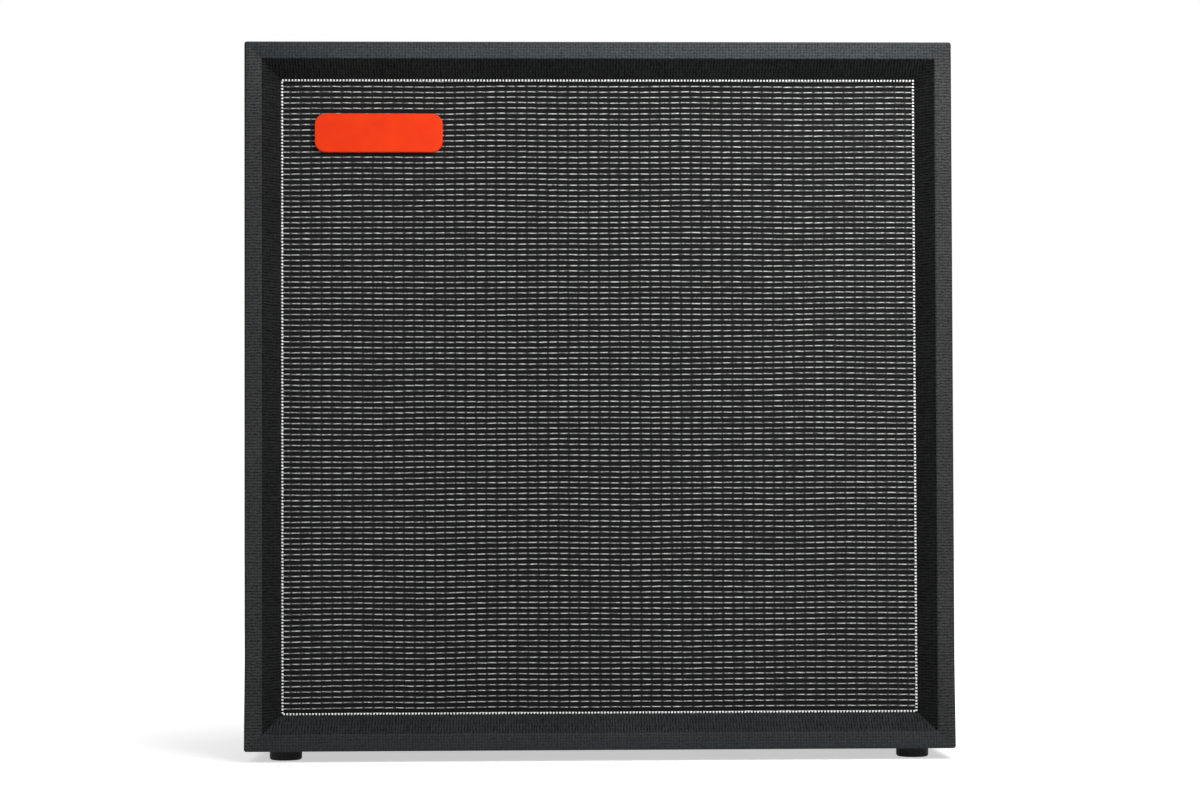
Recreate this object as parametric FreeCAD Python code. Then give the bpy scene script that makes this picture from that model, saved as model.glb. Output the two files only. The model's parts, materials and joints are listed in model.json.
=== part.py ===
import FreeCAD, Part
import math
import os

from FreeCAD import Placement, Rotation, Vector

# A closed-back guitar speaker cabinet with four 12 inch drivers, as separate pieces.
# Millimetres. +Z is up and the grille looks along -Y.
# The origin is on the floor, under the middle of the box.

# Covered box, without its feet
cab_width = 760.0
cab_height = 760.0
cab_depth = 356.0

# Sheet stock
vinyl_thick = 0.8
panel_thick = 18.0
baffle_thick = 18.0
back_thick = 15.0
cloth_thick = 1.0

# Shell and its comb-jointed corners
wood_edge_radius = 2.0
finger_count = 11

# Bevelled front frame: strips glued inside the shell, sloping back to the grille
strip_width = 18.0
strip_depth = 25.0
strip_lip = 3.0
strip_set_back = 0.4

# Grille and piping
baffle_gap = 1.0
piping_diameter = 2.8
seat_gap = 0.05

# Blank badge with two pegs, measured from the left and top of the box to its middle
badge_length = 138.0
badge_height = 42.0
badge_thick = 5.0
badge_corner = 12.0
badge_edge_round = 1.2
badge_from_left = 142.5
badge_from_top = 95.5
peg_radius = 2.0
peg_length = 12.0
peg_spacing = 40.0
peg_offset = -44.0

# Back
back_recess = 8.0
back_gap = 0.75
batten = 22.0
back_screws_per_edge = 4
baffle_screws_per_edge = 4
screw_edge_margin = 70.0
baffle_screw_inset = 6.5
centre_post = 45.0

# Wood screws, one gauge in several lengths, with cup washers under the back panel's
screw_head_radius = 4.2
screw_head_height = 2.6
screw_shank_radius = 2.0
screw_slot_width = 1.1
screw_slot_length = 4.6
screw_slot_depth = 1.3
screw_clearance = 0.1
cup_radius = 6.6
cup_height = 1.6
back_screw_length = 32.0
baffle_screw_length = 30.0
foot_screw_length = 20.0
handle_screw_length = 16.0
jack_screw_length = 12.0

# Rubber feet
foot_radius = 17.4
foot_height = 12.0
foot_round = 2.6
foot_flare = 0.8
foot_well_radius = 8.0
foot_well_depth = 5.2
foot_washer_radius = 7.4
foot_washer_thick = 1.2
foot_side_inset = 40.0
foot_end_inset = 46.0

# Recessed side handles, each one moulding of flange, tray and grip bar
handle_length = 204.0
handle_tall = 128.0
handle_flange = 2.6
handle_corner = 16.0
handle_pocket_length = 160.0
handle_pocket_tall = 88.0
handle_depth = 52.0
handle_wall = 3.0
handle_grip_radius = 8.5
handle_grip_rise = 17.0
handle_grip_sink = 11.0
handle_raise = 40.0
handle_shift = 14.0
handle_screw_inset = 11.0
cutout_gap = 1.0

# Connector plate with two quarter inch jack sockets
plate_length = 112.0
plate_tall = 60.0
plate_thick = 1.5
plate_corner = 5.0
plate_raise = 150.0
plate_screw_inset = 8.0
jack_spacing = 40.0
jack_bore_radius = 3.25
jack_bore_depth = 32.0
jack_bush_radius = 4.7
jack_bush_stand = 5.0
jack_body_width = 22.0
jack_body_tall = 24.0
jack_body_depth = 30.0
jack_lug_length = 8.0
jack_lug_width = 5.0
jack_lug_thick = 0.8
jack_lug_offset = 6.0
jack_nut_flats = 12.7
jack_nut_thick = 2.5
jack_cutout_gap = 5.0

# Drivers: two across and two up, bolted to the back of the baffle, as large as the room round them allows
speaker_wall_room = 41.7
speaker_gap = 21.0
hole_margin = 13.0
gasket_margin = 1.5
gasket_width = 11.0
gasket_thick = 4.0
frame_sheet = 1.5
flange_width = 15.0
frame_shelf_depth = 62.0
frame_shelf_radius = 82.5
frame_shelf_width = 16.5
frame_neck_taper = 7.5
seat_bore_step = 6.4
window_count = 8
window_angle = 30.0
window_shelf_margin = 6.5
window_rim_margin = 6.0
bolt_margin = 6.0
bolt_radius = 2.5
bolt_hole_radius = 3.2
bolt_head_flats = 8.0
bolt_head_height = 3.5
bolt_tip_margin = 1.5
bolts_per_speaker = 4
tee_flange_radius = 9.0
tee_flange_thick = 1.2
tee_barrel_radius = 3.6
tee_barrel_length = 10.0

# Moving parts of a driver. Depths run back from the rear face of the baffle.
cone_rim_width = 3.0
cone_front_depth = 9.0
cone_paper = 1.2
cone_rim_paper = 0.8
surround_sheet = 1.0
surround_margin = 9.5
surround_land = 5.0
surround_width = 12.0
surround_rolls = 3
surround_roll_height = 0.9
cap_overhang = 7.7
cap_height = 14.0
cap_sheet = 0.8
former_radius = 22.0
former_wall = 0.3
former_stand = 3.5
coil_wire = 0.7
coil_height = 12.0
coil_tail = 1.0
spider_sheet = 0.6
spider_margin = 2.5
spider_neck_margin = 1.0
spider_foot = 4.7
spider_rolls = 8
spider_roll_height = 1.4
spider_cup = 5.0
spider_room = 1.8

# Motor of a driver
seat_depth = 86.0
front_plate_radius = 60.0
front_plate_thick = 8.0
coil_gap = 0.6
magnet_radius = 75.0
magnet_bore_step = 8.4
magnet_thick = 18.0
back_plate_radius = 65.0
back_plate_thick = 8.0
pole_gap = 0.5

# Terminals, flexible leads and wiring
arm_width = 8.0
arm_overlap = 8.5
arm_past_lug = 5.5
arm_rise = 7.5
board_thick = 2.0
board_width = 26.0
board_height = 14.0
lug_width = 3.0
lug_thick = 1.0
lug_window_room = 7.0
lug_length = 16.0
lug_offset = 8.0
lead_radius = 0.8
lead_bend_radius = 8.0
lead_end_radius = 61.0
wire_diameter = 2.6
wire_gap = 0.2
wire_pitch = 3.2
wire_bend_radius = 13.0
wire_wall_room = 27.0
trunk_stand_off = 25.0
trunk_step = 10.0
lug_approach = 20.0
lug_rise = 60.0
clip_wall = 1.6
clip_width = 8.0
jumper_radius = 0.8

# Planes that several pieces share
front_y = -cab_depth / 2
back_y = cab_depth / 2
box_bottom = foot_height
box_top = foot_height + cab_height
mid_z = foot_height + cab_height / 2
wood_half_width = cab_width / 2 - vinyl_thick
wood_half_height = cab_height / 2 - vinyl_thick
inner_half_width = wood_half_width - panel_thick
inner_half_height = wood_half_height - panel_thick
inner_bottom = mid_z - inner_half_height
cloth_front_y = front_y + strip_set_back + strip_depth
baffle_front_y = cloth_front_y + cloth_thick
baffle_back_y = baffle_front_y + baffle_thick
back_outer_y = back_y - back_recess
back_inner_y = back_outer_y - back_thick
plate_z = box_bottom + plate_raise
screw_hole_radius = screw_shank_radius + screw_clearance
frame_radius = (min(inner_half_width, inner_half_height) - speaker_wall_room - speaker_gap / 2) / 2
frame_rim_radius = frame_radius - flange_width
speaker_hole_radius = frame_radius - hole_margin
gasket_outer_radius = frame_radius - gasket_margin
gasket_inner_radius = gasket_outer_radius - gasket_width
bolt_circle_radius = frame_radius - bolt_margin
bolt_length = gasket_thick + frame_sheet + baffle_thick - bolt_tip_margin
frame_neck_radius = frame_shelf_radius - frame_shelf_width
frame_seat_radius = frame_neck_radius - frame_neck_taper
window_inner_radius = frame_shelf_radius + window_shelf_margin
window_outer_radius = frame_rim_radius - window_rim_margin
surround_outer_radius = frame_radius - surround_margin
surround_roll_start = surround_outer_radius - surround_land
cone_radius = surround_roll_start - surround_width
cone_edge_radius = cone_radius - cone_rim_width
former_outer = former_radius + former_wall
front_plate_bore = former_outer + coil_wire + coil_gap
frame_seat_bore = front_plate_bore + seat_bore_step
magnet_bore = front_plate_bore + magnet_bore_step
pole_radius = former_radius - pole_gap
cap_radius = former_outer + cap_overhang
spider_outer_radius = frame_shelf_radius - spider_margin
spider_roll_start = frame_neck_radius - spider_neck_margin
spider_roll_end = former_outer + spider_foot
spider_start_depth = frame_shelf_depth - spider_sheet
spider_end_depth = spider_start_depth + spider_cup
cone_neck_depth = spider_end_depth - spider_roll_height - spider_room - cone_paper
former_front_depth = cone_neck_depth - former_stand
motor_back_depth = seat_depth + front_plate_thick + magnet_thick
lug_depth = frame_shelf_depth + frame_sheet * 2
lug_inner = window_inner_radius + lug_window_room
lug_outer = lug_inner + lug_length
arm_root = frame_shelf_radius - arm_overlap
arm_reach = lug_inner + arm_past_lug

# Position of each driver seen from the front: name, side (-1 is left), level (-1 is low)
SPEAKERS = (
    ("top_left", -1, 1),
    ("top_right", 1, 1),
    ("bottom_left", -1, -1),
    ("bottom_right", 1, -1),
)


# Shape helpers
def block(x0, x1, y0, y1, z0, z1):
    """Box between two limits on each axis."""
    return Part.makeBox(x1 - x0, y1 - y0, z1 - z0, Vector(x0, y0, z0))


def slab(half_length, half_tall, z0, z1, corner):
    """Plate about the Z axis with rounded corners."""
    plate = block(-half_length, half_length, -half_tall, half_tall, z0, z1)
    uprights = [edge for edge in plate.Edges if abs(edge.tangentAt(edge.FirstParameter).z) > 0.9]
    return plate.makeFillet(corner, uprights)


def drum(radius, z0, z1):
    """Cylinder about the Z axis."""
    return Part.makeCylinder(radius, z1 - z0, Vector(0, 0, z0))


def washer(inner, outer, z0, z1):
    """Flat ring about the Z axis."""
    return drum(outer, z0, z1).cut(drum(inner, z0, z1))


def hexagon(flats, z0, z1):
    """Hexagonal prism about the Z axis."""
    reach = flats / math.sqrt(3)
    turns = [math.pi / 3 * k for k in range(6)]
    corners = [Vector(reach * math.cos(turn), reach * math.sin(turn), z0) for turn in turns]
    return Part.Face(Part.makePolygon(corners + corners[:1])).extrude(Vector(0, 0, z1 - z0))


def outline(start, *steps):
    """Closed face in the XZ plane. A step is the end of a line, or (through, end) for an arc."""
    edges = []
    here = start
    for step in (*steps, start):
        if isinstance(step[0], tuple):
            through, there = step
            arc = Part.Arc(*(Vector(x, 0, z) for x, z in (here, through, there)))
            edges.append(arc.toShape())
        else:
            there = step
            if there != here:
                line = Part.LineSegment(*(Vector(x, 0, z) for x, z in (here, there)))
                edges.append(line.toShape())
        here = there
    return Part.Face(Part.Wire(edges))


def turned(start, *steps, angle=360.0):
    """Solid of revolution about the Z axis. Points are (radius, height)."""
    return outline(start, *steps).revolve(Vector(0, 0, 0), Vector(0, 0, 1), angle)


def bent_sheet(points, thick):
    """Points of a bent sheet's two faces. The second face lies to the right of travel."""
    second = []
    for index, (x, z) in enumerate(points):
        normals = []
        for first, last in ((index - 1, index), (index, index + 1)):
            if first >= 0 and last < len(points):
                run_x = points[last][0] - points[first][0]
                run_z = points[last][1] - points[first][1]
                length = math.hypot(run_x, run_z)
                normals.append((run_z / length, -run_x / length))
        sum_x = sum(normal[0] for normal in normals)
        sum_z = sum(normal[1] for normal in normals)
        scale = thick * len(normals) / (sum_x**2 + sum_z**2)
        second.append((x + sum_x * scale, z + sum_z * scale))
    return points + second[::-1]


def rolled_sheet(outer, start, end, inner, rolls, roll_height, z_start, z_end, thick):
    """Turned sheet with flat rings at both edges and arc rolls between, the first towards -Z."""
    steps = []
    for roll in range(rolls):
        middle_share = (roll + 0.5) / rolls
        end_share = (roll + 1) / rolls
        swing = roll_height if roll % 2 else -roll_height
        through = (start + (end - start) * middle_share, z_start + (z_end - z_start) * middle_share + swing)
        steps.append((through, (start + (end - start) * end_share, z_start + (z_end - z_start) * end_share)))
    back = []
    stations = [(start, z_start)] + [step[1] for step in steps]
    for roll in reversed(range(rolls)):
        (middle_x, middle_z), _ = steps[roll]
        there_x, there_z = stations[roll]
        back.append(((middle_x, middle_z + thick), (there_x, there_z + thick)))
    return turned(
        (outer, z_start),
        (start, z_start),
        *steps,
        (inner, z_end),
        (inner, z_end + thick),
        (end, z_end + thick),
        *back,
        (outer, z_start + thick),
    )


def aim(shape, point, direction, turn=0.0):
    """Copy of a shape made about +Z, with +Z turned along direction and its origin moved to point."""
    copy = shape.copy()
    swing = Rotation(Vector(0, 0, 1), Vector(*direction)) * Rotation(Vector(0, 0, 1), turn)
    copy.Placement = Placement(Vector(*point), swing).multiply(copy.Placement)
    return copy


def round_path(points, bend_radius):
    """Wire of straight runs joined by tangent arcs."""
    edges = []
    here = points[0]
    for before, corner, after in zip(points, points[1:], points[2:]):
        inward = (before - corner).normalize()
        outward = (after - corner).normalize()
        half_turn = (math.pi - inward.getAngle(outward)) / 2
        setback = bend_radius * math.tan(half_turn)
        entry = corner + inward * setback
        leave = corner + outward * setback
        bisector = (inward + outward).normalize()
        top = corner + bisector * (bend_radius / math.cos(half_turn) - bend_radius)
        edges.append(Part.LineSegment(here, entry).toShape())
        edges.append(Part.Arc(entry, top, leave).toShape())
        here = leave
    edges.append(Part.LineSegment(here, points[-1]).toShape())
    return Part.Wire(edges)


def round_rod(points, radius, bend_radius):
    """Round rod along a path with rounded corners."""
    path = round_path(points, bend_radius)
    circle = Part.Circle(points[0], points[1] - points[0], radius).toShape()
    rod = path.makePipeShell([Part.Wire(circle)], True, False)
    swept = math.pi * radius**2 * path.Length
    print(f"rod of {path.Length:.0f} mm, volume over section times length {rod.Volume / swept:.4f}")
    return rod


def spread(count, half_span):
    """Evenly spaced places from -half_span to half_span."""
    return [half_span * (2 * index / (count - 1) - 1) for index in range(count)]


# Fasteners, made about +Z with the underside of the head at the origin
def screw(length):
    """Round-headed wood screw with a cross slot."""
    crown = screw_head_height
    bulge = (screw_head_radius * math.sin(math.pi / 4), crown * math.cos(math.pi / 4))
    solid = turned(
        (0.0, crown),
        (bulge, (screw_head_radius, 0.0)),
        (screw_shank_radius, 0.0),
        (screw_shank_radius, screw_shank_radius - length),
        (0.0, -length),
    )
    half_length = screw_slot_length / 2
    half_width = screw_slot_width / 2
    floor = crown - screw_slot_depth
    bar = block(-half_length, half_length, -half_width, half_width, floor, crown)
    cross_bar = block(-half_width, half_width, -half_length, half_length, floor, crown)
    return solid.cut([bar, cross_bar])


def screw_hole(length):
    """Hole for a wood screw, a little deeper than the screw is long."""
    return drum(screw_hole_radius, -length - screw_clearance, 0.0)


def shell_envelope(half_width, half_height, half_depth, radius):
    """Box about the cabinet's middle with all edges rounded."""
    box = block(
        -half_width, half_width, -half_depth, half_depth, mid_z - half_height, mid_z + half_height
    )
    return box.makeFillet(radius, box.Edges)


# Places of the fasteners
def frame_places(half_width, half_height, per_edge):
    """(x, z) places round a rectangle, evenly along each edge and clear of its corners."""
    along = spread(per_edge, half_width - screw_edge_margin)
    up = spread(per_edge, half_height - screw_edge_margin)
    places = [(x, mid_z + side * half_height) for side in (-1, 1) for x in along]
    return places + [(side * half_width, mid_z + z) for side in (-1, 1) for z in up]


def back_screw_places():
    """Round the battens, and one in the centre post."""
    half_width = inner_half_width - batten / 2
    half_height = inner_half_height - batten / 2
    return frame_places(half_width, half_height, back_screws_per_edge) + [(0.0, mid_z)]


def baffle_screw_places():
    """Round the bevel strips."""
    half_width = inner_half_width - baffle_screw_inset
    half_height = inner_half_height - baffle_screw_inset
    return frame_places(half_width, half_height, baffle_screws_per_edge)


def foot_places():
    """(x, y) of the four feet."""
    half_x = cab_width / 2 - foot_side_inset
    half_y = cab_depth / 2 - foot_end_inset
    return [(x, y) for y in (-half_y, half_y) for x in (-half_x, half_x)]


def handle_screw_places():
    """(y, z) of the screws of one handle."""
    half_y = handle_length / 2 - handle_screw_inset
    half_z = handle_tall / 2 - handle_screw_inset
    return [(handle_shift + y, handle_middle_z() + z) for y in (-half_y, half_y) for z in (-half_z, half_z)]


def handle_middle_z():
    """Height of the handles' middle."""
    return mid_z + handle_raise


def plate_screw_places():
    """(x, z) of the screws of the connector plate."""
    half_x = plate_length / 2 - plate_screw_inset
    half_z = plate_tall / 2 - plate_screw_inset
    return [(x, plate_z + z) for x in (-half_x, half_x) for z in (-half_z, half_z)]


def jack_places():
    """x of the two jack sockets."""
    return (-jack_spacing / 2, jack_spacing / 2)


def badge_middle():
    """(x, z) of the badge's middle."""
    return badge_from_left - cab_width / 2, box_top - badge_from_top


def peg_places():
    """(x, z) of the badge's pegs, over the solid corner of the baffle."""
    x, z = badge_middle()
    return [(x + peg_offset + side * peg_spacing / 2, z) for side in (-1, 1)]


def speaker_middle(side, level):
    """(x, z) of a driver's axis."""
    wall_room = speaker_wall_room + frame_radius
    return side * (inner_half_width - wall_room), mid_z + level * (inner_half_height - wall_room)


def at_speaker(shape, side, level):
    """Copy of a driver's piece, put in its place behind the baffle with its terminals outwards."""
    x, z = speaker_middle(side, level)
    return aim(shape, (x, baffle_back_y, z), (0, 1, 0), 180.0 if side < 0 else 0.0)


def bolt_turns():
    """Angles of a driver's bolts."""
    return [360.0 / bolts_per_speaker * (index + 0.5) for index in range(bolts_per_speaker)]


def on_bolt_circle(shape):
    """Copies of a shape at a driver's bolts."""
    copies = []
    for turn in bolt_turns():
        copy = shape.copy()
        copy.translate(Vector(bolt_circle_radius, 0, 0))
        copy.rotate(Vector(0, 0, 0), Vector(0, 0, 1), turn)
        copies.append(copy)
    return copies


# Cabinet
def comb_fingers(owner, x0, x1, z0, z1):
    """Corner fingers along the depth that belong to the sides (owner 0) or to top and bottom (owner 1)."""
    wood_front = front_y + vinyl_thick
    length = (cab_depth - 2 * vinyl_thick) / finger_count
    return [
        block(x0, x1, wood_front + index * length, wood_front + (index + 1) * length, z0, z1)
        for index in range(owner, finger_count, 2)
    ]


def wood_envelope():
    """Outside of the bare shell."""
    return shell_envelope(
        wood_half_width, wood_half_height, cab_depth / 2 - vinyl_thick, wood_edge_radius
    )


def shell_panel(core, fingers):
    """One shell panel: its core with its corner fingers, edges rounded."""
    return core.multiFuse(fingers).common(wood_envelope()).removeSplitter()


def level_panel(level):
    """Top (level 1) or bottom (level -1) panel."""
    half_depth = cab_depth / 2 - vinyl_thick
    z0, z1 = sorted((mid_z + level * inner_half_height, mid_z + level * wood_half_height))
    core = block(-inner_half_width, inner_half_width, -half_depth, half_depth, z0, z1)
    fingers = []
    for side in (-1, 1):
        x0, x1 = sorted((side * inner_half_width, side * wood_half_width))
        fingers += comb_fingers(1, x0, x1, z0, z1)
    return shell_panel(core, fingers)


def side_panel(side):
    """Left (side -1) or right (side 1) panel with its handle cut-out."""
    half_depth = cab_depth / 2 - vinyl_thick
    x0, x1 = sorted((side * inner_half_width, side * wood_half_width))
    core = block(x0, x1, -half_depth, half_depth, mid_z - inner_half_height, mid_z + inner_half_height)
    fingers = []
    for level in (-1, 1):
        z0, z1 = sorted((mid_z + level * inner_half_height, mid_z + level * wood_half_height))
        fingers += comb_fingers(0, x0, x1, z0, z1)
    return shell_panel(core, fingers).cut([handle_cutout(side), *handle_screw_holes(side)])


def foot_screw_holes():
    """Pilot holes for the feet, in the bottom panel and its covering."""
    seat = foot_well_depth - foot_washer_thick
    return [aim(screw_hole(foot_screw_length), (x, y, seat), (0, 0, -1)) for x, y in foot_places()]


def bottom_panel():
    """Bottom panel with the feet's pilot holes."""
    return level_panel(-1).cut(foot_screw_holes())


def vinyl_covering():
    """Vinyl glued round the outside of the shell and over its front and rear edges."""
    outside = shell_envelope(
        cab_width / 2, cab_height / 2, cab_depth / 2, wood_edge_radius + vinyl_thick
    )
    hollow = block(
        -inner_half_width,
        inner_half_width,
        front_y,
        back_y,
        mid_z - inner_half_height,
        mid_z + inner_half_height,
    )
    tools = [wood_envelope(), hollow, *foot_screw_holes()]
    for side in (-1, 1):
        tools += [handle_cutout(side), *handle_screw_holes(side)]
    return outside.cut(tools)


def bevel_strip(across_x, side):
    """Mitred strip of the front frame. across_x is true for the upright strips."""
    slope_start = strip_set_back
    section = (
        (0.0, slope_start),
        (0.0, slope_start + strip_depth),
        (strip_width, slope_start + strip_depth),
        (strip_width, slope_start + strip_depth - strip_lip),
    )
    ends = []
    for end in (-1, 1):
        corners = []
        for inset, depth in section:
            x = inner_half_width - inset
            z = inner_half_height - inset
            place = (side * x, end * z) if across_x else (end * x, side * z)
            corners.append(Vector(place[0], front_y + depth, mid_z + place[1]))
        ends.append(Part.makePolygon(corners + corners[:1]))
    strip = Part.makeLoft(ends, True, True)
    return strip.cut(baffle_screw_holes())


def baffle_screw_holes():
    """Holes for the screws through the baffle and the cloth into the bevel strips."""
    return [
        aim(screw_hole(baffle_screw_length), (x, baffle_back_y, z), (0, 1, 0))
        for x, z in baffle_screw_places()
    ]


def peg_holes():
    """Holes for the badge's pegs in the cloth and the baffle."""
    hole = drum(peg_radius + screw_clearance, -peg_length - screw_clearance, 0.0)
    return [aim(hole, (x, cloth_front_y, z), (0, -1, 0)) for x, z in peg_places()]


def front_board(y0, y1):
    """Board that fills the shell behind the bevel strips."""
    half_width = inner_half_width - baffle_gap
    half_height = inner_half_height - baffle_gap
    return block(-half_width, half_width, y0, y1, mid_z - half_height, mid_z + half_height)


def baffle_board():
    """Baffle with its driver holes and the holes of the tee nuts, screws and badge."""
    tools = [*baffle_screw_holes(), *peg_holes()]
    tee_hole = [
        drum(bolt_radius + screw_clearance, -baffle_thick, 0.0),
        drum(tee_barrel_radius + screw_clearance, -baffle_thick, tee_barrel_length - baffle_thick),
        drum(
            tee_flange_radius + screw_clearance,
            -baffle_thick,
            tee_flange_thick + screw_clearance - baffle_thick,
        ),
    ]
    for _, side, level in SPEAKERS:
        tools.append(at_speaker(drum(speaker_hole_radius, -baffle_thick, 0.0), side, level))
        for hole in tee_hole:
            tools += [at_speaker(copy, side, level) for copy in on_bolt_circle(hole)]
    return front_board(baffle_front_y, baffle_back_y).cut(tools)


def grille_cloth():
    """Cloth stretched over the face of the baffle."""
    return front_board(cloth_front_y, baffle_front_y).cut([*baffle_screw_holes(), *peg_holes()])


def white_piping():
    """Round cord in the corner between the bevel strips and the cloth, mitred at its corners."""
    radius = piping_diameter / 2
    inset = strip_width + radius + seat_gap
    x = inner_half_width - inset
    z = inner_half_height - inset
    y = cloth_front_y - radius - seat_gap
    corners = [Vector(sx * x, y, mid_z + sz * z) for sx, sz in ((0, 1), (1, 1), (1, -1), (-1, -1), (-1, 1))]
    path = Part.makePolygon(corners + corners[:1])
    section = Part.Wire(Part.Circle(corners[0], Vector(1, 0, 0), radius).toShape())
    sweep = Part.BRepOffsetAPI.MakePipeShell(path)
    sweep.setTransitionMode(1)
    sweep.add(section)
    sweep.build()
    sweep.makeSolid()
    return sweep.shape()


def badge_plate():
    """Blank plate with a rounded face and two pegs behind."""
    plate = slab(badge_length / 2, badge_height / 2, 0.0, badge_thick, badge_corner)
    face_edges = [edge for edge in plate.Edges if min(v.Z for v in edge.Vertexes) > badge_thick / 2]
    plate = plate.makeFillet(badge_edge_round, face_edges)
    pegs = []
    for side in (-1, 1):
        peg = drum(peg_radius, -peg_length, 0.0)
        peg.translate(Vector(peg_offset + side * peg_spacing / 2, 0, 0))
        pegs.append(peg)
    x, z = badge_middle()
    return aim(plate.multiFuse(pegs), (x, cloth_front_y, z), (0, -1, 0))


def back_screw_holes():
    """Holes for the back panel's screws."""
    return [
        aim(screw_hole(back_screw_length), (x, back_outer_y + cup_height, z), (0, 1, 0))
        for x, z in back_screw_places()
    ]


def plate_screw_holes():
    """Holes for the connector plate's screws."""
    return [
        aim(screw_hole(jack_screw_length), (x, back_outer_y + plate_thick, z), (0, 1, 0))
        for x, z in plate_screw_places()
    ]


def back_panel():
    """Covered back panel with the opening for the jack sockets."""
    half_width = inner_half_width - back_gap
    half_height = inner_half_height - back_gap
    panel = block(
        -half_width, half_width, back_inner_y, back_outer_y, mid_z - half_height, mid_z + half_height
    )
    reach_x = (jack_spacing + jack_body_width) / 2 + jack_cutout_gap
    reach_z = jack_body_tall / 2 + jack_cutout_gap
    opening = block(-reach_x, reach_x, back_inner_y, back_outer_y, plate_z - reach_z, plate_z + reach_z)
    return panel.cut([opening, *back_screw_holes(), *plate_screw_holes()])


def back_battens():
    """Four battens round the inside of the shell that carry the back panel."""
    y0 = back_inner_y - batten
    battens = []
    for sign in (-1, 1):
        z0, z1 = sorted((mid_z + sign * inner_half_height, mid_z + sign * (inner_half_height - batten)))
        battens.append(block(-inner_half_width, inner_half_width, y0, back_inner_y, z0, z1))
        x0, x1 = sorted((sign * inner_half_width, sign * (inner_half_width - batten)))
        reach = inner_half_height - batten
        battens.append(block(x0, x1, y0, back_inner_y, mid_z - reach, mid_z + reach))
    holes = back_screw_holes()
    return [piece.cut(holes) for piece in battens]


def centre_brace():
    """Post from the baffle to the back panel."""
    half = centre_post / 2
    post = block(-half, half, baffle_back_y, back_inner_y, mid_z - half, mid_z + half)
    return post.cut(back_screw_holes())


def back_panel_screws():
    """Back panel screws, each on its cup washer."""
    rim = turned(
        (screw_hole_radius, 0.0),
        (cup_radius, 0.0),
        (screw_head_radius + (cup_radius - screw_head_radius) / 2, cup_height),
        (screw_hole_radius, cup_height),
    )
    pieces = []
    for x, z in back_screw_places():
        pieces.append(aim(rim, (x, back_outer_y, z), (0, 1, 0)))
        pieces.append(aim(screw(back_screw_length), (x, back_outer_y + cup_height, z), (0, 1, 0)))
    return pieces


def baffle_screws():
    """Screws through the baffle into the bevel strips."""
    return [
        aim(screw(baffle_screw_length), (x, baffle_back_y, z), (0, 1, 0)) for x, z in baffle_screw_places()
    ]


def rubber_foot():
    """Round foot with a well for its screw."""
    bore = screw_hole_radius
    bend = foot_round * (1 - math.sin(math.pi / 4))
    return turned(
        (bore, foot_height),
        (foot_radius + foot_flare, foot_height),
        (foot_radius, foot_height - foot_flare * 2),
        (foot_radius, foot_round),
        ((foot_radius - bend, bend), (foot_radius - foot_round, 0.0)),
        (foot_well_radius, 0.0),
        (foot_well_radius, foot_well_depth),
        (bore, foot_well_depth),
    )


def rubber_feet():
    """The four feet."""
    return [aim(rubber_foot(), (x, y, 0.0), (0, 0, 1)) for x, y in foot_places()]


def foot_screws():
    """A washer and a screw in the well of each foot."""
    seat = foot_well_depth - foot_washer_thick
    ring = washer(screw_hole_radius, foot_washer_radius, seat, foot_well_depth)
    pieces = []
    for x, y in foot_places():
        pieces.append(aim(ring, (x, y, 0.0), (0, 0, 1)))
        pieces.append(aim(screw(foot_screw_length), (x, y, seat), (0, 0, -1)))
    return pieces


# Handles
def handle_cutout(side):
    """Opening for a handle's tray in a side panel and its covering."""
    half_length = handle_pocket_length / 2 + handle_wall + cutout_gap
    half_tall = handle_pocket_tall / 2 + handle_wall + cutout_gap
    x0, x1 = sorted((side * inner_half_width, side * cab_width / 2))
    middle = handle_middle_z()
    return block(
        x0, x1, handle_shift - half_length, handle_shift + half_length, middle - half_tall, middle + half_tall
    )


def handle_screw_holes(side):
    """Holes for one handle's screws."""
    x = side * (cab_width / 2 + handle_flange)
    return [aim(screw_hole(handle_screw_length), (x, y, z), (side, 0, 0)) for y, z in handle_screw_places()]


def handle(side):
    """Recessed handle: flange on the covering, tray in the cut-out and a grip bar across its mouth."""
    half_length = handle_pocket_length / 2
    half_tall = handle_pocket_tall / 2
    floor = handle_wall - handle_depth
    flange = slab(handle_length / 2, handle_tall / 2, 0.0, handle_flange, handle_corner)
    flange_rim = [edge for edge in flange.Edges if min(v.Z for v in edge.Vertexes) > handle_flange / 2]
    flange = flange.makeFillet(handle_flange / 2, flange_rim)
    tray_length = half_length + handle_wall
    tray_tall = half_tall + handle_wall
    tray = slab(tray_length, tray_tall, -handle_depth, handle_flange / 2, handle_wall)
    pocket = slab(half_length, half_tall, floor, handle_flange, handle_wall)
    grip = Part.makeCylinder(
        handle_grip_radius,
        handle_pocket_length + handle_wall,
        Vector(-half_length - handle_wall / 2, handle_grip_rise, -handle_grip_sink),
        Vector(1, 0, 0),
    )
    shape = flange.fuse(tray).cut(pocket).fuse(grip).removeSplitter()
    upright = Rotation(Vector(0, side, 0), Vector(0, 0, 1), Vector(side, 0, 0), "ZXY")
    shape.Placement = Placement(
        Vector(side * cab_width / 2, handle_shift, handle_middle_z()), upright
    ).multiply(shape.Placement)
    return shape.cut(handle_screw_holes(side))


def handle_screws():
    """Screws of both handles."""
    pieces = []
    for side in (-1, 1):
        x = side * (cab_width / 2 + handle_flange)
        pieces += [
            aim(screw(handle_screw_length), (x, y, z), (side, 0, 0)) for y, z in handle_screw_places()
        ]
    return pieces


# Connector plate
def jack_plate():
    """Steel plate on the back panel with holes for the sockets and screws."""
    plate = slab(plate_length / 2, plate_tall / 2, 0.0, plate_thick, plate_corner)
    plate = aim(plate, (0.0, back_outer_y, plate_z), (0, 1, 0))
    bush_hole = drum(jack_bush_radius + screw_clearance, 0.0, plate_thick)
    holes = [aim(bush_hole, (x, back_outer_y, plate_z), (0, 1, 0)) for x in jack_places()]
    return plate.cut(holes + plate_screw_holes())


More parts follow.
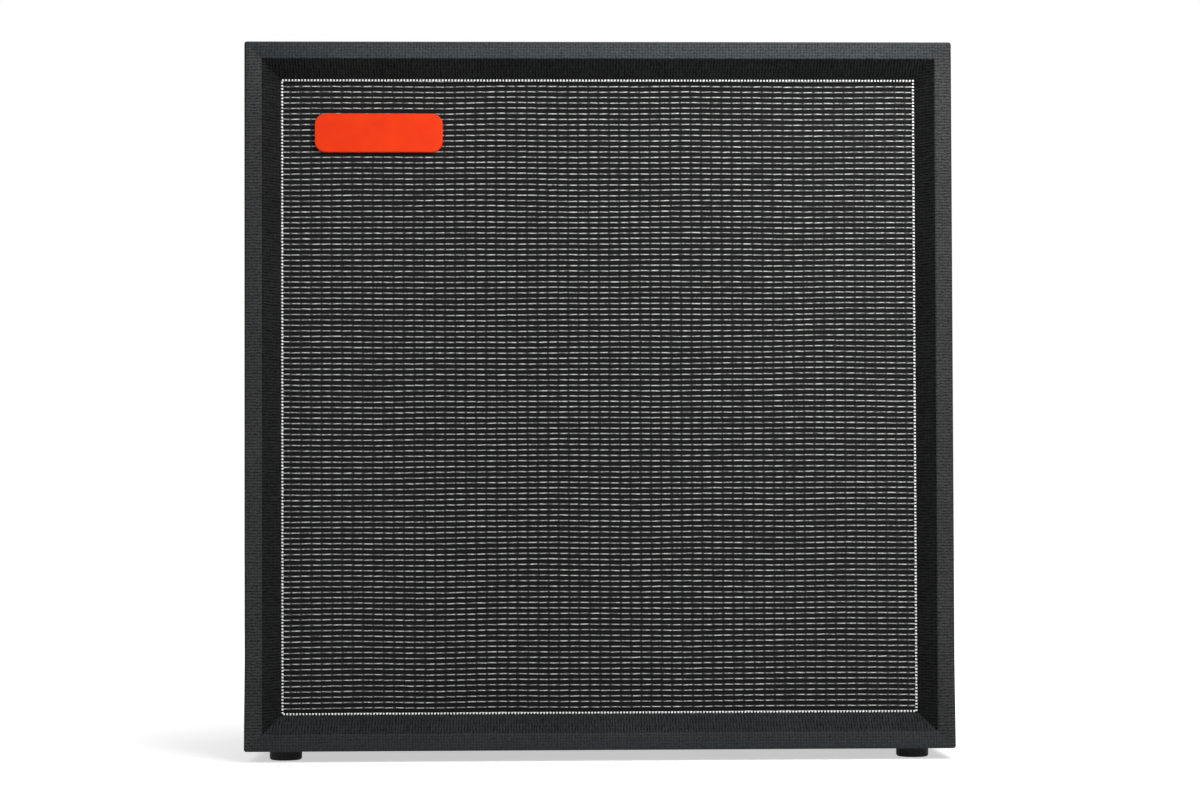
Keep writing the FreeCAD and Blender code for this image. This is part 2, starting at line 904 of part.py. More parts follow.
def jack_socket():
    """Quarter inch socket about +Z from the plate's inner face: bush, bored body and two solder lugs."""
    mouth = plate_thick + jack_bush_stand
    body = slab(jack_body_width / 2, jack_body_tall / 2, -jack_body_depth, 0.0, plate_thick)
    bush = drum(jack_bush_radius, -plate_thick, mouth)
    pieces = [bush]
    for sign in (-1, 1):
        lug = block(
            -jack_lug_width / 2,
            jack_lug_width / 2,
            sign * jack_lug_offset - jack_lug_thick / 2,
            sign * jack_lug_offset + jack_lug_thick / 2,
            -jack_body_depth - jack_lug_length,
            -jack_body_depth + plate_thick,
        )
        pieces.append(lug)
    return body.multiFuse(pieces).cut(drum(jack_bore_radius, mouth - jack_bore_depth, mouth)).removeSplitter()


def jack_sockets():
    """Input socket and link socket."""
    return [aim(jack_socket(), (x, back_outer_y, plate_z), (0, 1, 0)) for x in jack_places()]


def jack_plate_fasteners():
    """Four plate screws and a hexagon nut on each socket."""
    seat = back_outer_y + plate_thick
    nut = hexagon(jack_nut_flats, 0.0, jack_nut_thick).cut(
        drum(jack_bush_radius + screw_clearance, 0.0, jack_nut_thick)
    )
    nuts = [aim(nut, (x, seat, plate_z), (0, 1, 0)) for x in jack_places()]
    screws = [aim(screw(jack_screw_length), (x, seat, z), (0, 1, 0)) for x, z in plate_screw_places()]
    return nuts + screws


# Drivers, each piece made about +Z from the rear face of the baffle
def basket():
    """Pressed steel frame with windows, bolt holes and an arm for the terminal board."""
    front_face = [
        (frame_radius, gasket_thick),
        (frame_rim_radius, gasket_thick),
        (frame_shelf_radius, frame_shelf_depth),
        (frame_neck_radius, frame_shelf_depth),
        (frame_seat_radius, seat_depth - frame_sheet),
        (frame_seat_bore, seat_depth - frame_sheet),
    ]
    frame = turned(*bent_sheet(front_face, frame_sheet))
    window = turned(
        (window_inner_radius, gasket_thick + 2 * frame_sheet),
        (window_outer_radius, gasket_thick + 2 * frame_sheet),
        (window_outer_radius, frame_shelf_depth - frame_sheet),
        (window_inner_radius, frame_shelf_depth - frame_sheet),
        angle=window_angle,
    )
    tools = on_bolt_circle(drum(bolt_hole_radius, 0.0, gasket_thick + 2 * frame_sheet))
    for index in range(window_count):
        tool = window.copy()
        tool.rotate(Vector(0, 0, 0), Vector(0, 0, 1), 360.0 / window_count * index - window_angle / 2)
        tools.append(tool)
    arm_z = frame_shelf_depth + frame_sheet
    arm = block(arm_root, arm_reach, -arm_width / 2, arm_width / 2, arm_z, arm_z + frame_sheet)
    ear = block(
        arm_reach - frame_sheet,
        arm_reach,
        -arm_width / 2,
        arm_width / 2,
        lug_depth - arm_rise,
        lug_depth + arm_rise,
    )
    return frame.cut(tools).multiFuse([arm, ear]).removeSplitter()


def gasket():
    """Stepped ring between the baffle and the frame, over the edge of the surround."""
    step = gasket_thick - surround_sheet
    ring = turned(
        (gasket_inner_radius, 0.0),
        (gasket_outer_radius, 0.0),
        (gasket_outer_radius, gasket_thick),
        (surround_outer_radius + seat_gap, gasket_thick),
        (surround_outer_radius + seat_gap, step),
        (gasket_inner_radius, step),
    )
    return ring.cut(on_bolt_circle(drum(bolt_hole_radius, 0.0, gasket_thick)))


def surround():
    """Corrugated edge that carries the cone's rim."""
    return rolled_sheet(
        surround_outer_radius,
        surround_roll_start,
        cone_radius,
        cone_edge_radius,
        surround_rolls,
        surround_roll_height,
        gasket_thick - surround_sheet,
        cone_front_depth - surround_sheet,
        surround_sheet,
    )


def cone_depth_at(radius):
    """Depth of the cone's front face at a radius."""
    neck = former_outer + seat_gap
    share = (cone_edge_radius - radius) / (cone_edge_radius - neck)
    return cone_front_depth + share * (cone_neck_depth - cone_front_depth)


def cone():
    """Paper cone with a flat rim and an open neck round the coil former."""
    neck = former_outer + seat_gap
    return turned(
        (cone_radius, cone_front_depth),
        (cone_edge_radius, cone_front_depth),
        (neck, cone_neck_depth),
        (neck, cone_neck_depth + cone_paper),
        (cone_edge_radius, cone_front_depth + cone_rim_paper),
        (cone_radius, cone_front_depth + cone_rim_paper),
    )


def dust_cap():
    """Domed cap over the neck of the cone."""
    rim = cone_depth_at(cap_radius) - cap_sheet - seat_gap
    ball = (cap_radius**2 + cap_height**2) / (2 * cap_height)
    half = cap_radius / 2
    rise = math.sqrt(ball**2 - half**2) - (ball - cap_height)
    crown = rim - cap_height
    return turned(
        (cap_radius, rim),
        ((half, rim - rise), (0.0, crown)),
        (0.0, crown + cap_sheet),
        ((half, rim - rise + cap_sheet), (cap_radius, rim + cap_sheet)),
    )


def voice_coil():
    """Coil former with its winding, centred in the front plate."""
    middle = seat_depth + front_plate_thick / 2
    tail = middle + coil_height / 2 + coil_tail
    wound = former_outer + coil_wire
    return turned(
        (former_radius, former_front_depth),
        (former_outer, former_front_depth),
        (former_outer, middle - coil_height / 2),
        (wound, middle - coil_height / 2),
        (wound, middle + coil_height / 2),
        (former_outer, middle + coil_height / 2),
        (former_outer, tail),
        (former_radius, tail),
    )


def spider():
    """Corrugated suspension between the frame's shelf and the coil former."""
    return rolled_sheet(
        spider_outer_radius,
        spider_roll_start,
        spider_roll_end,
        former_outer + seat_gap,
        spider_rolls,
        spider_roll_height,
        spider_start_depth,
        spider_end_depth,
        spider_sheet,
    )


def front_plate():
    """Steel ring round the coil gap."""
    return washer(front_plate_bore, front_plate_radius, seat_depth, seat_depth + front_plate_thick)


def magnet():
    """Ferrite ring."""
    z0 = seat_depth + front_plate_thick
    return washer(magnet_bore, magnet_radius, z0, z0 + magnet_thick)


def back_plate():
    """Steel back plate with its pole piece."""
    return turned(
        (0.0, seat_depth),
        (pole_radius, seat_depth),
        (pole_radius, motor_back_depth),
        (back_plate_radius, motor_back_depth),
        (back_plate_radius, motor_back_depth + back_plate_thick),
        (0.0, motor_back_depth + back_plate_thick),
    )


def lug(offset, gap):
    """Solder lug through the terminal board, grown by gap."""
    return block(
        lug_inner,
        lug_outer,
        offset - lug_width / 2 - gap,
        offset + lug_width / 2 + gap,
        lug_depth - lug_thick / 2 - gap,
        lug_depth + lug_thick / 2 + gap,
    )


def terminal_strip():
    """Insulating board on the frame's arm with two lugs through it."""
    board = block(
        arm_reach,
        arm_reach + board_thick,
        -board_width / 2,
        board_width / 2,
        lug_depth - board_height / 2,
        lug_depth + board_height / 2,
    )
    slots = [lug(sign * lug_offset, seat_gap) for sign in (-1, 1)]
    return [board.cut(slots)] + [lug(sign * lug_offset, 0.0) for sign in (-1, 1)]


def tinsel_leads():
    """Two flexible leads of one driver, from the lugs' inner ends to the back of the cone."""
    end_z = cone_depth_at(lead_end_radius) + cone_paper + lead_radius + seat_gap
    start_x = lug_inner + lead_radius
    start_z = lug_depth - lug_thick / 2 - seat_gap
    leads = []
    for sign in (-1, 1):
        y = sign * lug_offset
        points = [Vector(start_x, y, start_z), Vector(start_x, y, end_z), Vector(lead_end_radius, y, end_z)]
        leads.append(round_rod(points, lead_radius, lead_bend_radius))
    return leads


def speaker_bolts():
    """Hexagon bolts of one driver, heads on the back of its frame."""
    seat = gasket_thick + frame_sheet
    head = hexagon(bolt_head_flats, seat, seat + bolt_head_height)
    bolt = head.fuse(drum(bolt_radius, seat - bolt_length, seat))
    return on_bolt_circle(bolt.removeSplitter())


def tee_nuts():
    """Tee nuts of one driver, let into the face of the baffle."""
    bore = bolt_radius + screw_clearance / 2
    nut = turned(
        (bore, -baffle_thick),
        (tee_flange_radius, -baffle_thick),
        (tee_flange_radius, tee_flange_thick - baffle_thick),
        (tee_barrel_radius, tee_flange_thick - baffle_thick),
        (tee_barrel_radius, tee_barrel_length - baffle_thick),
        (bore, tee_barrel_length - baffle_thick),
    )
    return on_bolt_circle(nut)


# Wiring: two strings of two drivers in series, joined at the sockets
def wire_floor():
    """Height of the wires along the bottom panel."""
    return inner_bottom + wire_diameter / 2 + wire_gap


def wire_wall():
    """Depth of the wires along the back of the baffle."""
    return baffle_back_y + wire_diameter / 2 + wire_gap


def lug_end(side, level, upper):
    """Outer end of a terminal lug: upper is 1 for the higher lug and -1 for the lower one."""
    x, z = speaker_middle(side, level)
    return Vector(x + side * (lug_outer + seat_gap), baffle_back_y + lug_depth, z + upper * lug_offset)


def near_lug(side, level, upper):
    """Where a wire turns in to a terminal lug."""
    return lug_end(side, level, upper) + Vector(side * lug_approach, 0, 0)


def jack_lug_end(side, upper):
    """Inner end of a socket's solder lug."""
    y = back_outer_y - jack_body_depth - jack_lug_length - seat_gap
    return Vector(side * jack_spacing / 2, y, plate_z + upper * jack_lug_offset)


def run_x(side, lane):
    """x of the wires up the back of the baffle: lane 1 is by the shell's side, -1 by the drivers."""
    return side * (inner_half_width - wire_wall_room + lane * wire_pitch)


def wire_routes(side):
    """Points of the three wires of one string of drivers."""
    wall = wire_wall()
    floor = wire_floor()
    outer_x = run_x(side, 1)
    inner_x = run_x(side, -1)
    start_up = jack_lug_end(side, 1)
    start_down = jack_lug_end(side, -1)
    up_y = start_up.y - trunk_stand_off - trunk_step
    down_y = start_down.y - trunk_stand_off
    rise = Vector(0, 0, lug_rise)
    top_plus = near_lug(side, 1, 1)
    top_minus = near_lug(side, 1, -1)
    low_plus = near_lug(side, -1, 1)
    low_minus = near_lug(side, -1, -1)
    feed = [
        start_down,
        Vector(start_down.x, down_y, start_down.z),
        Vector(start_down.x, down_y, floor),
        Vector(outer_x, down_y, floor),
        Vector(outer_x, wall, floor),
        Vector(outer_x, wall, (top_plus - rise).z),
        top_plus,
        lug_end(side, 1, 1),
    ]
    link = [
        lug_end(side, 1, -1),
        top_minus,
        Vector(inner_x, wall, (top_minus - rise).z),
        Vector(inner_x, wall, (low_plus + rise).z),
        low_plus,
        lug_end(side, -1, 1),
    ]
    back_to_jack = [
        start_up,
        Vector(start_up.x, up_y, start_up.z),
        Vector(start_up.x, up_y, floor),
        Vector(inner_x, up_y, floor),
        Vector(inner_x, wall, floor),
        Vector(inner_x, wall, (low_minus - rise).z),
        low_minus,
        lug_end(side, -1, -1),
    ]
    return [feed, link, back_to_jack]


def wiring_loom():
    """Insulated wires from the sockets to the drivers, and two bare jumpers between the sockets."""
    wires = []
    for side in (-1, 1):
        wires += [round_rod(route, wire_diameter / 2, wire_bend_radius) for route in wire_routes(side)]
    for upper in (-1, 1):
        end = jack_lug_end(1, upper)
        reach = jack_spacing - jack_lug_width - 2 * seat_gap
        start = Vector(-reach / 2, end.y + jack_lug_length / 2, end.z)
        wires.append(Part.makeCylinder(jumper_radius, reach, start, Vector(1, 0, 0)))
    return wires


def saddle(half_span):
    """Cable clip about +Z: a bridge of clip_width over wires that lie along Y."""
    height = wire_diameter + 2 * wire_gap
    outside = half_span + clip_wall
    bridge = block(-outside, outside, -clip_width / 2, clip_width / 2, 0.0, height + clip_wall)
    return bridge.cut(block(-half_span, half_span, -clip_width / 2, clip_width / 2, 0.0, height))


def cable_clips():
    """Clips over the wires along the bottom panel and up the back of the baffle."""
    one_wire = saddle(wire_diameter / 2 + wire_gap)
    two_wires = saddle(wire_pitch + wire_diameter / 2 + wire_gap)
    low_z = speaker_middle(1, -1)[1]
    up_y = jack_lug_end(1, 1).y - trunk_stand_off - trunk_step
    down_y = up_y + trunk_step
    clips = []
    for side in (-1, 1):
        x = run_x(side, 0)
        for share, y in ((0.35, up_y), (0.7, up_y), (0.5, down_y)):
            clips.append(aim(one_wire, (share * x, y, inner_bottom), (0, 0, 1), 90.0))
        clips.append(aim(two_wires, (x, 0.0, inner_bottom), (0, 0, 1)))
        for z in ((inner_bottom + low_z - lug_rise) / 2, mid_z):
            clips.append(aim(two_wires, (x, baffle_back_y, z), (0, 1, 0)))
    return clips


def save(name, pieces):
    """Writes one node, as one solid or a group of separate solids."""
    solids = pieces if isinstance(pieces, list) else [pieces]
    shape = solids[0] if len(solids) == 1 else Part.makeCompound(solids)
    bad = [index for index, solid in enumerate(solids) if not solid.isValid() or len(solid.Solids) != 1]
    if bad:
        print(f"{name}: pieces {bad} aren't single valid solids")
    shape.exportStep(os.path.join("parts", f"{name}.step"))


def for_each_speaker(make):
    """The pieces of all four drivers in one list."""
    made = make()
    pieces = made if isinstance(made, list) else [made]
    return [at_speaker(piece, side, level) for _, side, level in SPEAKERS for piece in pieces]


def main():
    """Builds and saves every node."""
    os.makedirs("parts", exist_ok=True)
    save("top_panel", level_panel(1))
    save("bottom_panel", bottom_panel())
    save("left_side", side_panel(-1))
    save("right_side", side_panel(1))
    save("vinyl_covering", vinyl_covering())
    save("bevel_strip_top", bevel_strip(False, 1))
    save("bevel_strip_bottom", bevel_strip(False, -1))
    save("bevel_strip_left", bevel_strip(True, -1))
    save("bevel_strip_right", bevel_strip(True, 1))
    save("baffle_board", baffle_board())
    save("grille_cloth", grille_cloth())
    save("white_piping", white_piping())
    save("badge_plate", badge_plate())
    save("back_panel", back_panel())
    save("back_battens", back_battens())
    save("centre_post", centre_brace())
    save("back_panel_screws", back_panel_screws())
    save("baffle_screws", baffle_screws())
    save("rubber_feet", rubber_feet())
    save("foot_screws", foot_screws())
    save("handle_left", handle(-1))
    save("handle_right", handle(1))
    save("handle_screws", handle_screws())
    save("jack_plate", jack_plate())
    save("jack_sockets", jack_sockets())
    save("jack_plate_fasteners", jack_plate_fasteners())
    save("wiring_loom", wiring_loom())
    save("cable_clips", cable_clips())
    save("speaker_bolts", for_each_speaker(speaker_bolts))
    save("tee_nuts", for_each_speaker(tee_nuts))
    save("tinsel_leads", for_each_speaker(tinsel_leads))
    save("magnets", for_each_speaker(magnet))
    save("front_plates", for_each_speaker(front_plate))
    save("back_plates", for_each_speaker(back_plate))
    save("gaskets", for_each_speaker(gasket))
    save("terminal_strips", for_each_speaker(terminal_strip))
    moving = {
        "basket": basket(),
        "cone": cone(),
        "dust_cap": dust_cap(),
        "voice_coil": voice_coil(),
        "surround": surround(),
        "spider": spider(),
    }
    for name, shape in moving.items():
        for place, side, level in SPEAKERS:
            save(f"{name}_{place}", at_speaker(shape, side, level))


main()
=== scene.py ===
"""Dressed model of a closed-back guitar speaker cabinet, on a pale floor, seen from the front.

Lengths are in metres, and in the finishes in millimetres.
"""

import json
import logging
import math
from collections.abc import Mapping, Sequence
from dataclasses import dataclass
from enum import Enum
from typing import Any, Union

import bmesh
import bpy
from mathutils import Matrix, Vector

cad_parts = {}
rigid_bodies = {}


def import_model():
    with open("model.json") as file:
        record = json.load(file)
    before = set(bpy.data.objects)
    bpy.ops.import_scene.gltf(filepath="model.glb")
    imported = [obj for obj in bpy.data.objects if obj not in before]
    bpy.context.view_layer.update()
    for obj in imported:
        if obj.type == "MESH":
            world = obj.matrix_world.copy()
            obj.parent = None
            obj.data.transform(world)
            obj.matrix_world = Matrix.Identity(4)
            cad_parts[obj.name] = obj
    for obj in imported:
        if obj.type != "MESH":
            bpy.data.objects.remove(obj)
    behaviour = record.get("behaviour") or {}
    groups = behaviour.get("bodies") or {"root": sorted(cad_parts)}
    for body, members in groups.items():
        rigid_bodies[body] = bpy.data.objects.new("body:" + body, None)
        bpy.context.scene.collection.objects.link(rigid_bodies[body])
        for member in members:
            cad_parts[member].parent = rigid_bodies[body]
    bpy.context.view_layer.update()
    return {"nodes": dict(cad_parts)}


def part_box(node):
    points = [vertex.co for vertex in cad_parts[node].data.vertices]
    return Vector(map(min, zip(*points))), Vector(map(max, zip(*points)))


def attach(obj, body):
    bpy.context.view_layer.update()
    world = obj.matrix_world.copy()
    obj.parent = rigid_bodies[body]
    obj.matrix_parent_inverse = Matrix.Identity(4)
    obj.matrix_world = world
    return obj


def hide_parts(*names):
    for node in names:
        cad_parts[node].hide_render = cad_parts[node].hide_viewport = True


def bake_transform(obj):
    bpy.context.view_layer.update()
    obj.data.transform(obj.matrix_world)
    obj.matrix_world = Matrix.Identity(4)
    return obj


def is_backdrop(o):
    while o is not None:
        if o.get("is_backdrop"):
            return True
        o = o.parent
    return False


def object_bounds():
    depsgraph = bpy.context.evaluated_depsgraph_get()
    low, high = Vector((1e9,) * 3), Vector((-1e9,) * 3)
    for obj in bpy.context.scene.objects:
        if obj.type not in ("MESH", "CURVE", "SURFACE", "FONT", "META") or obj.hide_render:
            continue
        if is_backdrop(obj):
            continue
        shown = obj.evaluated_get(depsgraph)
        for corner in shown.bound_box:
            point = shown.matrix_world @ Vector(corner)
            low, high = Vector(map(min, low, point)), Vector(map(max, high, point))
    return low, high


LOG = logging.getLogger("cabinet")
MM = 0.001
SEED = 11
CABINET = "cabinet"
DRIVERS = ("top_left", "top_right", "bottom_left", "bottom_right")

# Kinds of node that are used more than once
COMBINE = "ShaderNodeCombineXYZ"
COORDINATES = "ShaderNodeTexCoord"
GRID = "GeometryNodeMeshGrid"
LOOP = "GeometryNodeCurvePrimitiveQuadrilateral"
MAPPING = "ShaderNodeMapping"
MARK = "ShaderNodeAttribute"
MATH = "ShaderNodeMath"
MIX = "ShaderNodeMix"
MOVE = "GeometryNodeSetPosition"
NOISE = "ShaderNodeTexNoise"
POSITION = "GeometryNodeInputPosition"
RANDOM = "FunctionNodeRandomValue"
RANGE = "ShaderNodeMapRange"
SEPARATE = "ShaderNodeSeparateXYZ"
SPREAD = "GeometryNodeInstanceOnPoints"
STORE = "GeometryNodeStoreNamedAttribute"
SURFACE = "ShaderNodeOutputMaterial"
VECTOR_MATH = "ShaderNodeVectorMath"
WAVE = "ShaderNodeTexWave"

# Colour inputs of a mix node, which has other inputs of the same names
MIX_A, MIX_B = 6, 7
# Parts of a noise's range over which it makes a soft or a hard change
SOFT_SPAN = (0.3, 0.7)
HARD_SPAN = (0.35, 0.65)
# Radians that the wave texture goes through in one unit at a scale of 1
WAVE_TURN = 20
# Marks on the cloth's ground: the way they repeat, repeats in two pitches, start and end on their wave
CLOTH_MARKS = {"rib": ("Y", 4, 0.2, 1.0), "weft": ("Y", 2, 0.7, 1.0), "strand": ("X", 2, -0.6, -1.0)}
# The shell's top, right, bottom and left: outward direction as (x, z), and finish of the front band, the
# top's with painted light
OUTWARD = ((0, 1), (1, 0), (0, -1), (-1, 0))
BAND_SLOTS = (1, 3, 2, 3)
# Sides that hold a handle, and sides along which places run down or left
HANDLE_SIDES = (1, 3)
REVERSED_SIDES = (1, 2)

Colour = tuple[float, float, float, float]
Inputs = Union[Mapping[Any, Any], Sequence[Any]]
Looks = tuple[dict[str, Any], Any]
Node = bpy.types.Node
Pair = tuple[float, float]
Piece = bpy.types.Object
Socket = bpy.types.NodeSocket
Station = tuple[int, float, float]
Tree = bpy.types.NodeTree
Triple = tuple[float, float, float]


def linear(code: str) -> Colour:
    """Turns an sRGB hex colour into linear light.

    Args:
        code: Six hex digits, such as "1c1d1f".

    Returns:
        Red, green, blue and an alpha of 1.
    """
    parts = [int(code[i : i + 2], 16) / 255 for i in (0, 2, 4)]
    red, green, blue = (p / 12.92 if p <= 0.04045 else ((p + 0.055) / 1.055) ** 2.4 for p in parts)
    return red, green, blue, 1.0


def per_mm(size: float) -> float:
    """Texture scale at which one feature is size millimetres wide on Object coordinates."""
    return 1.0 / (size * MM)


def bands_per_mm(size: float) -> float:
    """Wave texture scale at which one band is size millimetres wide on Object coordinates."""
    return math.tau / (WAVE_TURN * size * MM)


def add_node(tree: Tree, kind: str, inputs: Inputs = (), **settings: Any) -> Node:
    """Adds a node with its settings and links.

    Args:
        tree: Tree that gets the node.
        kind: The node's bl_idname.
        inputs: Socket name or index to its input, or the inputs in the order of the sockets. An input is
            a value, an output socket to link from, or a node, which stands for its first output in use.
        settings: The node's own properties.

    Returns:
        The new node.
    """
    node = tree.nodes.new(kind)
    for name, value in settings.items():
        setattr(node, name, value)
    for key, value in inputs.items() if isinstance(inputs, Mapping) else enumerate(inputs):
        if isinstance(value, Node):
            value = next(socket for socket in value.outputs if socket.enabled)
        if isinstance(value, Socket):
            tree.links.new(value, node.inputs[key])
        else:
            node.inputs[key].default_value = value
    return node


def empty_tree(owner: Union[bpy.types.Material, bpy.types.World]) -> Tree:
    """Gives a material or a world a tree with no nodes in it.

    Args:
        owner: The material or world.

    Returns:
        Its tree.
    """
    owner.use_nodes = True
    owner.node_tree.nodes.clear()
    return owner.node_tree


def new_object(name: str, mesh: bpy.types.Mesh) -> Piece:
    """Links a mesh into the scene.

    Args:
        name: Name of the object.
        mesh: Its mesh.

    Returns:
        The object, at the origin.
    """
    piece = bpy.data.objects.new(name, mesh)
    bpy.context.scene.collection.objects.link(piece)
    return piece


def keep(name: str, form: bmesh.types.BMesh) -> Piece:
    """Turns worked geometry into an object.

    Args:
        name: Name of the object and of its mesh.
        form: The geometry, which is freed.

    Returns:
        The object, at the origin.
    """
    mesh = bpy.data.meshes.new(name)
    form.to_mesh(mesh)
    form.free()
    return new_object(name, mesh)


def stand_for(piece: Piece, node: str) -> None:
    """Puts a new piece on the cabinet in place of a modelled one.

    Args:
        piece: The new piece.
        node: Name of the modelled piece.
    """
    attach(piece, CABINET)
    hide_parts(node)


class Grain(Enum):
    """How strongly the vinyl's threads repeat along X, Y and Z, as rolled or pulled over an edge."""

    EVEN = (0.34, 0.34, 0.34)
    CROSSED = (0.5, 0.0, 0.5)
    UPRIGHT = (0.8, 0.0, 0.2)
    LEVEL = (0.2, 0.0, 0.8)


class Finish:
    """A material that is built once and shared.

    Attributes:
        name: The material's name.
        shine: Specular level, 0.5 for a smooth surface and low where a grain breaks up reflections.
        relief: Depth of the relief.
        show: Share of the relief that shows.
    """

    name: str
    shine: float
    relief: float
    show: float = 1.0

    def paint(self, tree: Tree, place: Socket) -> Looks:
        """Adds the nodes that drive the shader.

        Args:
            tree: The material's tree.
            place: Place on the object.

        Returns:
            The shader's inputs, and the height of the relief.
        """
        raise NotImplementedError

    def material(self) -> bpy.types.Material:
        """Builds the material on first use.

        Returns:
            The shared material.
        """
        made = bpy.data.materials.get(self.name)
        if made is None:
            made = bpy.data.materials.new(self.name)
            tree = empty_tree(made)
            looks, height = self.paint(tree, add_node(tree, COORDINATES).outputs["Object"])
            relief = {"Height": height, "Distance": self.relief * MM, "Strength": self.show}
            looks |= {"Specular IOR Level": self.shine, "Normal": add_node(tree, "ShaderNodeBump", relief)}
            add_node(tree, SURFACE, (add_node(tree, "ShaderNodeBsdfPrincipled", looks),))
        return made


@dataclass(frozen=True)
class Speckled(Finish):
    """A moulded, painted, cast or pressed surface: a mottle of two near colours with a fine relief.

    Attributes:
        dark: Colour of the low spots.
        light: Colour of the high spots.
        speck: Width of a spot, drawn as about 1 where the real one is too fine to show.
        roughness: Mean roughness.
        swing: How far roughness varies.
        metallic: 1 for bare metal.
        ior: Index of refraction, left at the default on metal.
        stretch: Drawing-out of the spots along X, Y and Z.
    """

    name: str
    dark: str
    light: str
    speck: float
    roughness: float
    swing: float = 0.1
    relief: float = 0.05
    metallic: float = 0.0
    ior: float = 1.5
    stretch: Triple = (1.0, 1.0, 1.0)
    shine: float = 0.5

    def paint(self, tree: Tree, place: Socket) -> Looks:
        """Mixes the two colours, the roughness and the relief by one noise.

        Args:
            tree: The material's tree.
            place: Place on the object.

        Returns:
            The shader's inputs, and the height of the relief.
        """
        drawn = add_node(tree, MAPPING, {"Vector": place, "Scale": self.stretch})
        spots = {"Vector": drawn, "Scale": per_mm(self.speck), "Detail": 4.0, "Roughness": 0.6}
        noise = add_node(tree, NOISE, spots)
        ramp = add_node(tree, "ShaderNodeValToRGB", (noise,))
        for stop, level, code in zip(ramp.color_ramp.elements, SOFT_SPAN, (self.dark, self.light)):
            stop.position = level
            stop.color = linear(code)
        ends = (self.roughness + self.swing, self.roughness - self.swing)
        rough = add_node(tree, RANGE, (noise, *SOFT_SPAN, *ends))
        return {"Base Color": ramp, "Roughness": rough, "Metallic": self.metallic, "IOR": self.ior}, noise


@dataclass(frozen=True)
class Vinyl(Finish):
    """Expanded PVC covering with an embossed canvas grain, drawn out where it is pulled over an edge.

    Attributes:
        grain: Which way the grain's threads run.
        crease: Colour in the creases, darker than on the threads: painted shade of the grain.
        face: Colour on the raised threads.
        draw: Width of a stroke as a share of its length.
        thread: Spacing of the threads, about twice the real one so that it shows.
        stroke: Width of the uneven strokes along the threads.
        grit: Height of the grit between the strokes.
        rise: Heights at which the colour is the creases' and the threads'.
        shade_size: Size of the slow changes of shade.
        shade: Least and most of the threads' colour that shows as the shade changes.
        roughness: Roughness in the creases and on the threads.
    """

    name: str
    grain: Grain
    crease: str = "101213"
    face: str = "3d3f40"
    draw: float = 0.3
    shine: float = 0.12
    thread: float = 3.1
    stroke: float = 0.95
    grit: float = 0.2
    rise: Pair = (0.25, 0.95)
    shade_size: float = 45.0
    shade: Pair = (0.85, 1.1)
    roughness: Pair = (0.75, 0.49)
    relief: float = 0.2
    show: float = 0.8

    def paint(self, tree: Tree, place: Socket) -> Looks:
        """Draws the threads each way over a fine grit, with a slow change of shade across the sheet.

        Args:
            tree: The material's tree.
            place: Place on the object.

        Returns:
            The shader's inputs, and the height of the relief.
        """
        layers = [((1.0, 1.0, 1.0), self.stroke / 2, self.grit)]
        for axis, weight in enumerate(self.grain.value):
            if weight:
                stretch = tuple(1.0 if axis == way else self.draw for way in range(3))
                layers.append((stretch, self.stroke, weight / 2))
        height: Any = 0.0
        for stretch, width, weight in layers:
            drawn = add_node(tree, MAPPING, {"Vector": place, "Scale": stretch})
            strokes = {"Vector": drawn, "Scale": per_mm(width), "Detail": 2.0, "Roughness": 0.55}
            rise = add_node(tree, RANGE, (add_node(tree, NOISE, strokes), *HARD_SPAN, 0.0, weight))
            height = add_node(tree, MATH, (rise, height), operation="ADD")
        waver = {"Distortion": 2.5, "Detail": 1.0, "Detail Scale": 1.5}
        ribs = {"Vector": place, "Scale": bands_per_mm(self.thread), **waver}
        for axis, weight in zip("XYZ", self.grain.value):
            rib = add_node(tree, WAVE, ribs, bands_direction=axis).outputs["Fac"]
            height = add_node(tree, MATH, (rib, weight / 2, height), operation="MULTIPLY_ADD")
        # The grain's low parts take the creases' colour: painted shade in the creases
        raised = add_node(tree, RANGE, (height, *self.rise))
        cloud = {"Vector": place, "Scale": per_mm(self.shade_size), "Detail": 2.0, "Roughness": 0.5}
        lit = add_node(tree, RANGE, (add_node(tree, NOISE, cloud), *SOFT_SPAN, *self.shade))
        amount = add_node(tree, MATH, (raised, lit), operation="MULTIPLY")
        tones = {"Factor": amount, MIX_A: linear(self.crease), MIX_B: linear(self.face)}
        rough = add_node(tree, RANGE, (raised, 0.0, 1.0, *self.roughness))
        return {"Base Color": add_node(tree, MIX, tones, data_type="RGBA"), "Roughness": rough}, height


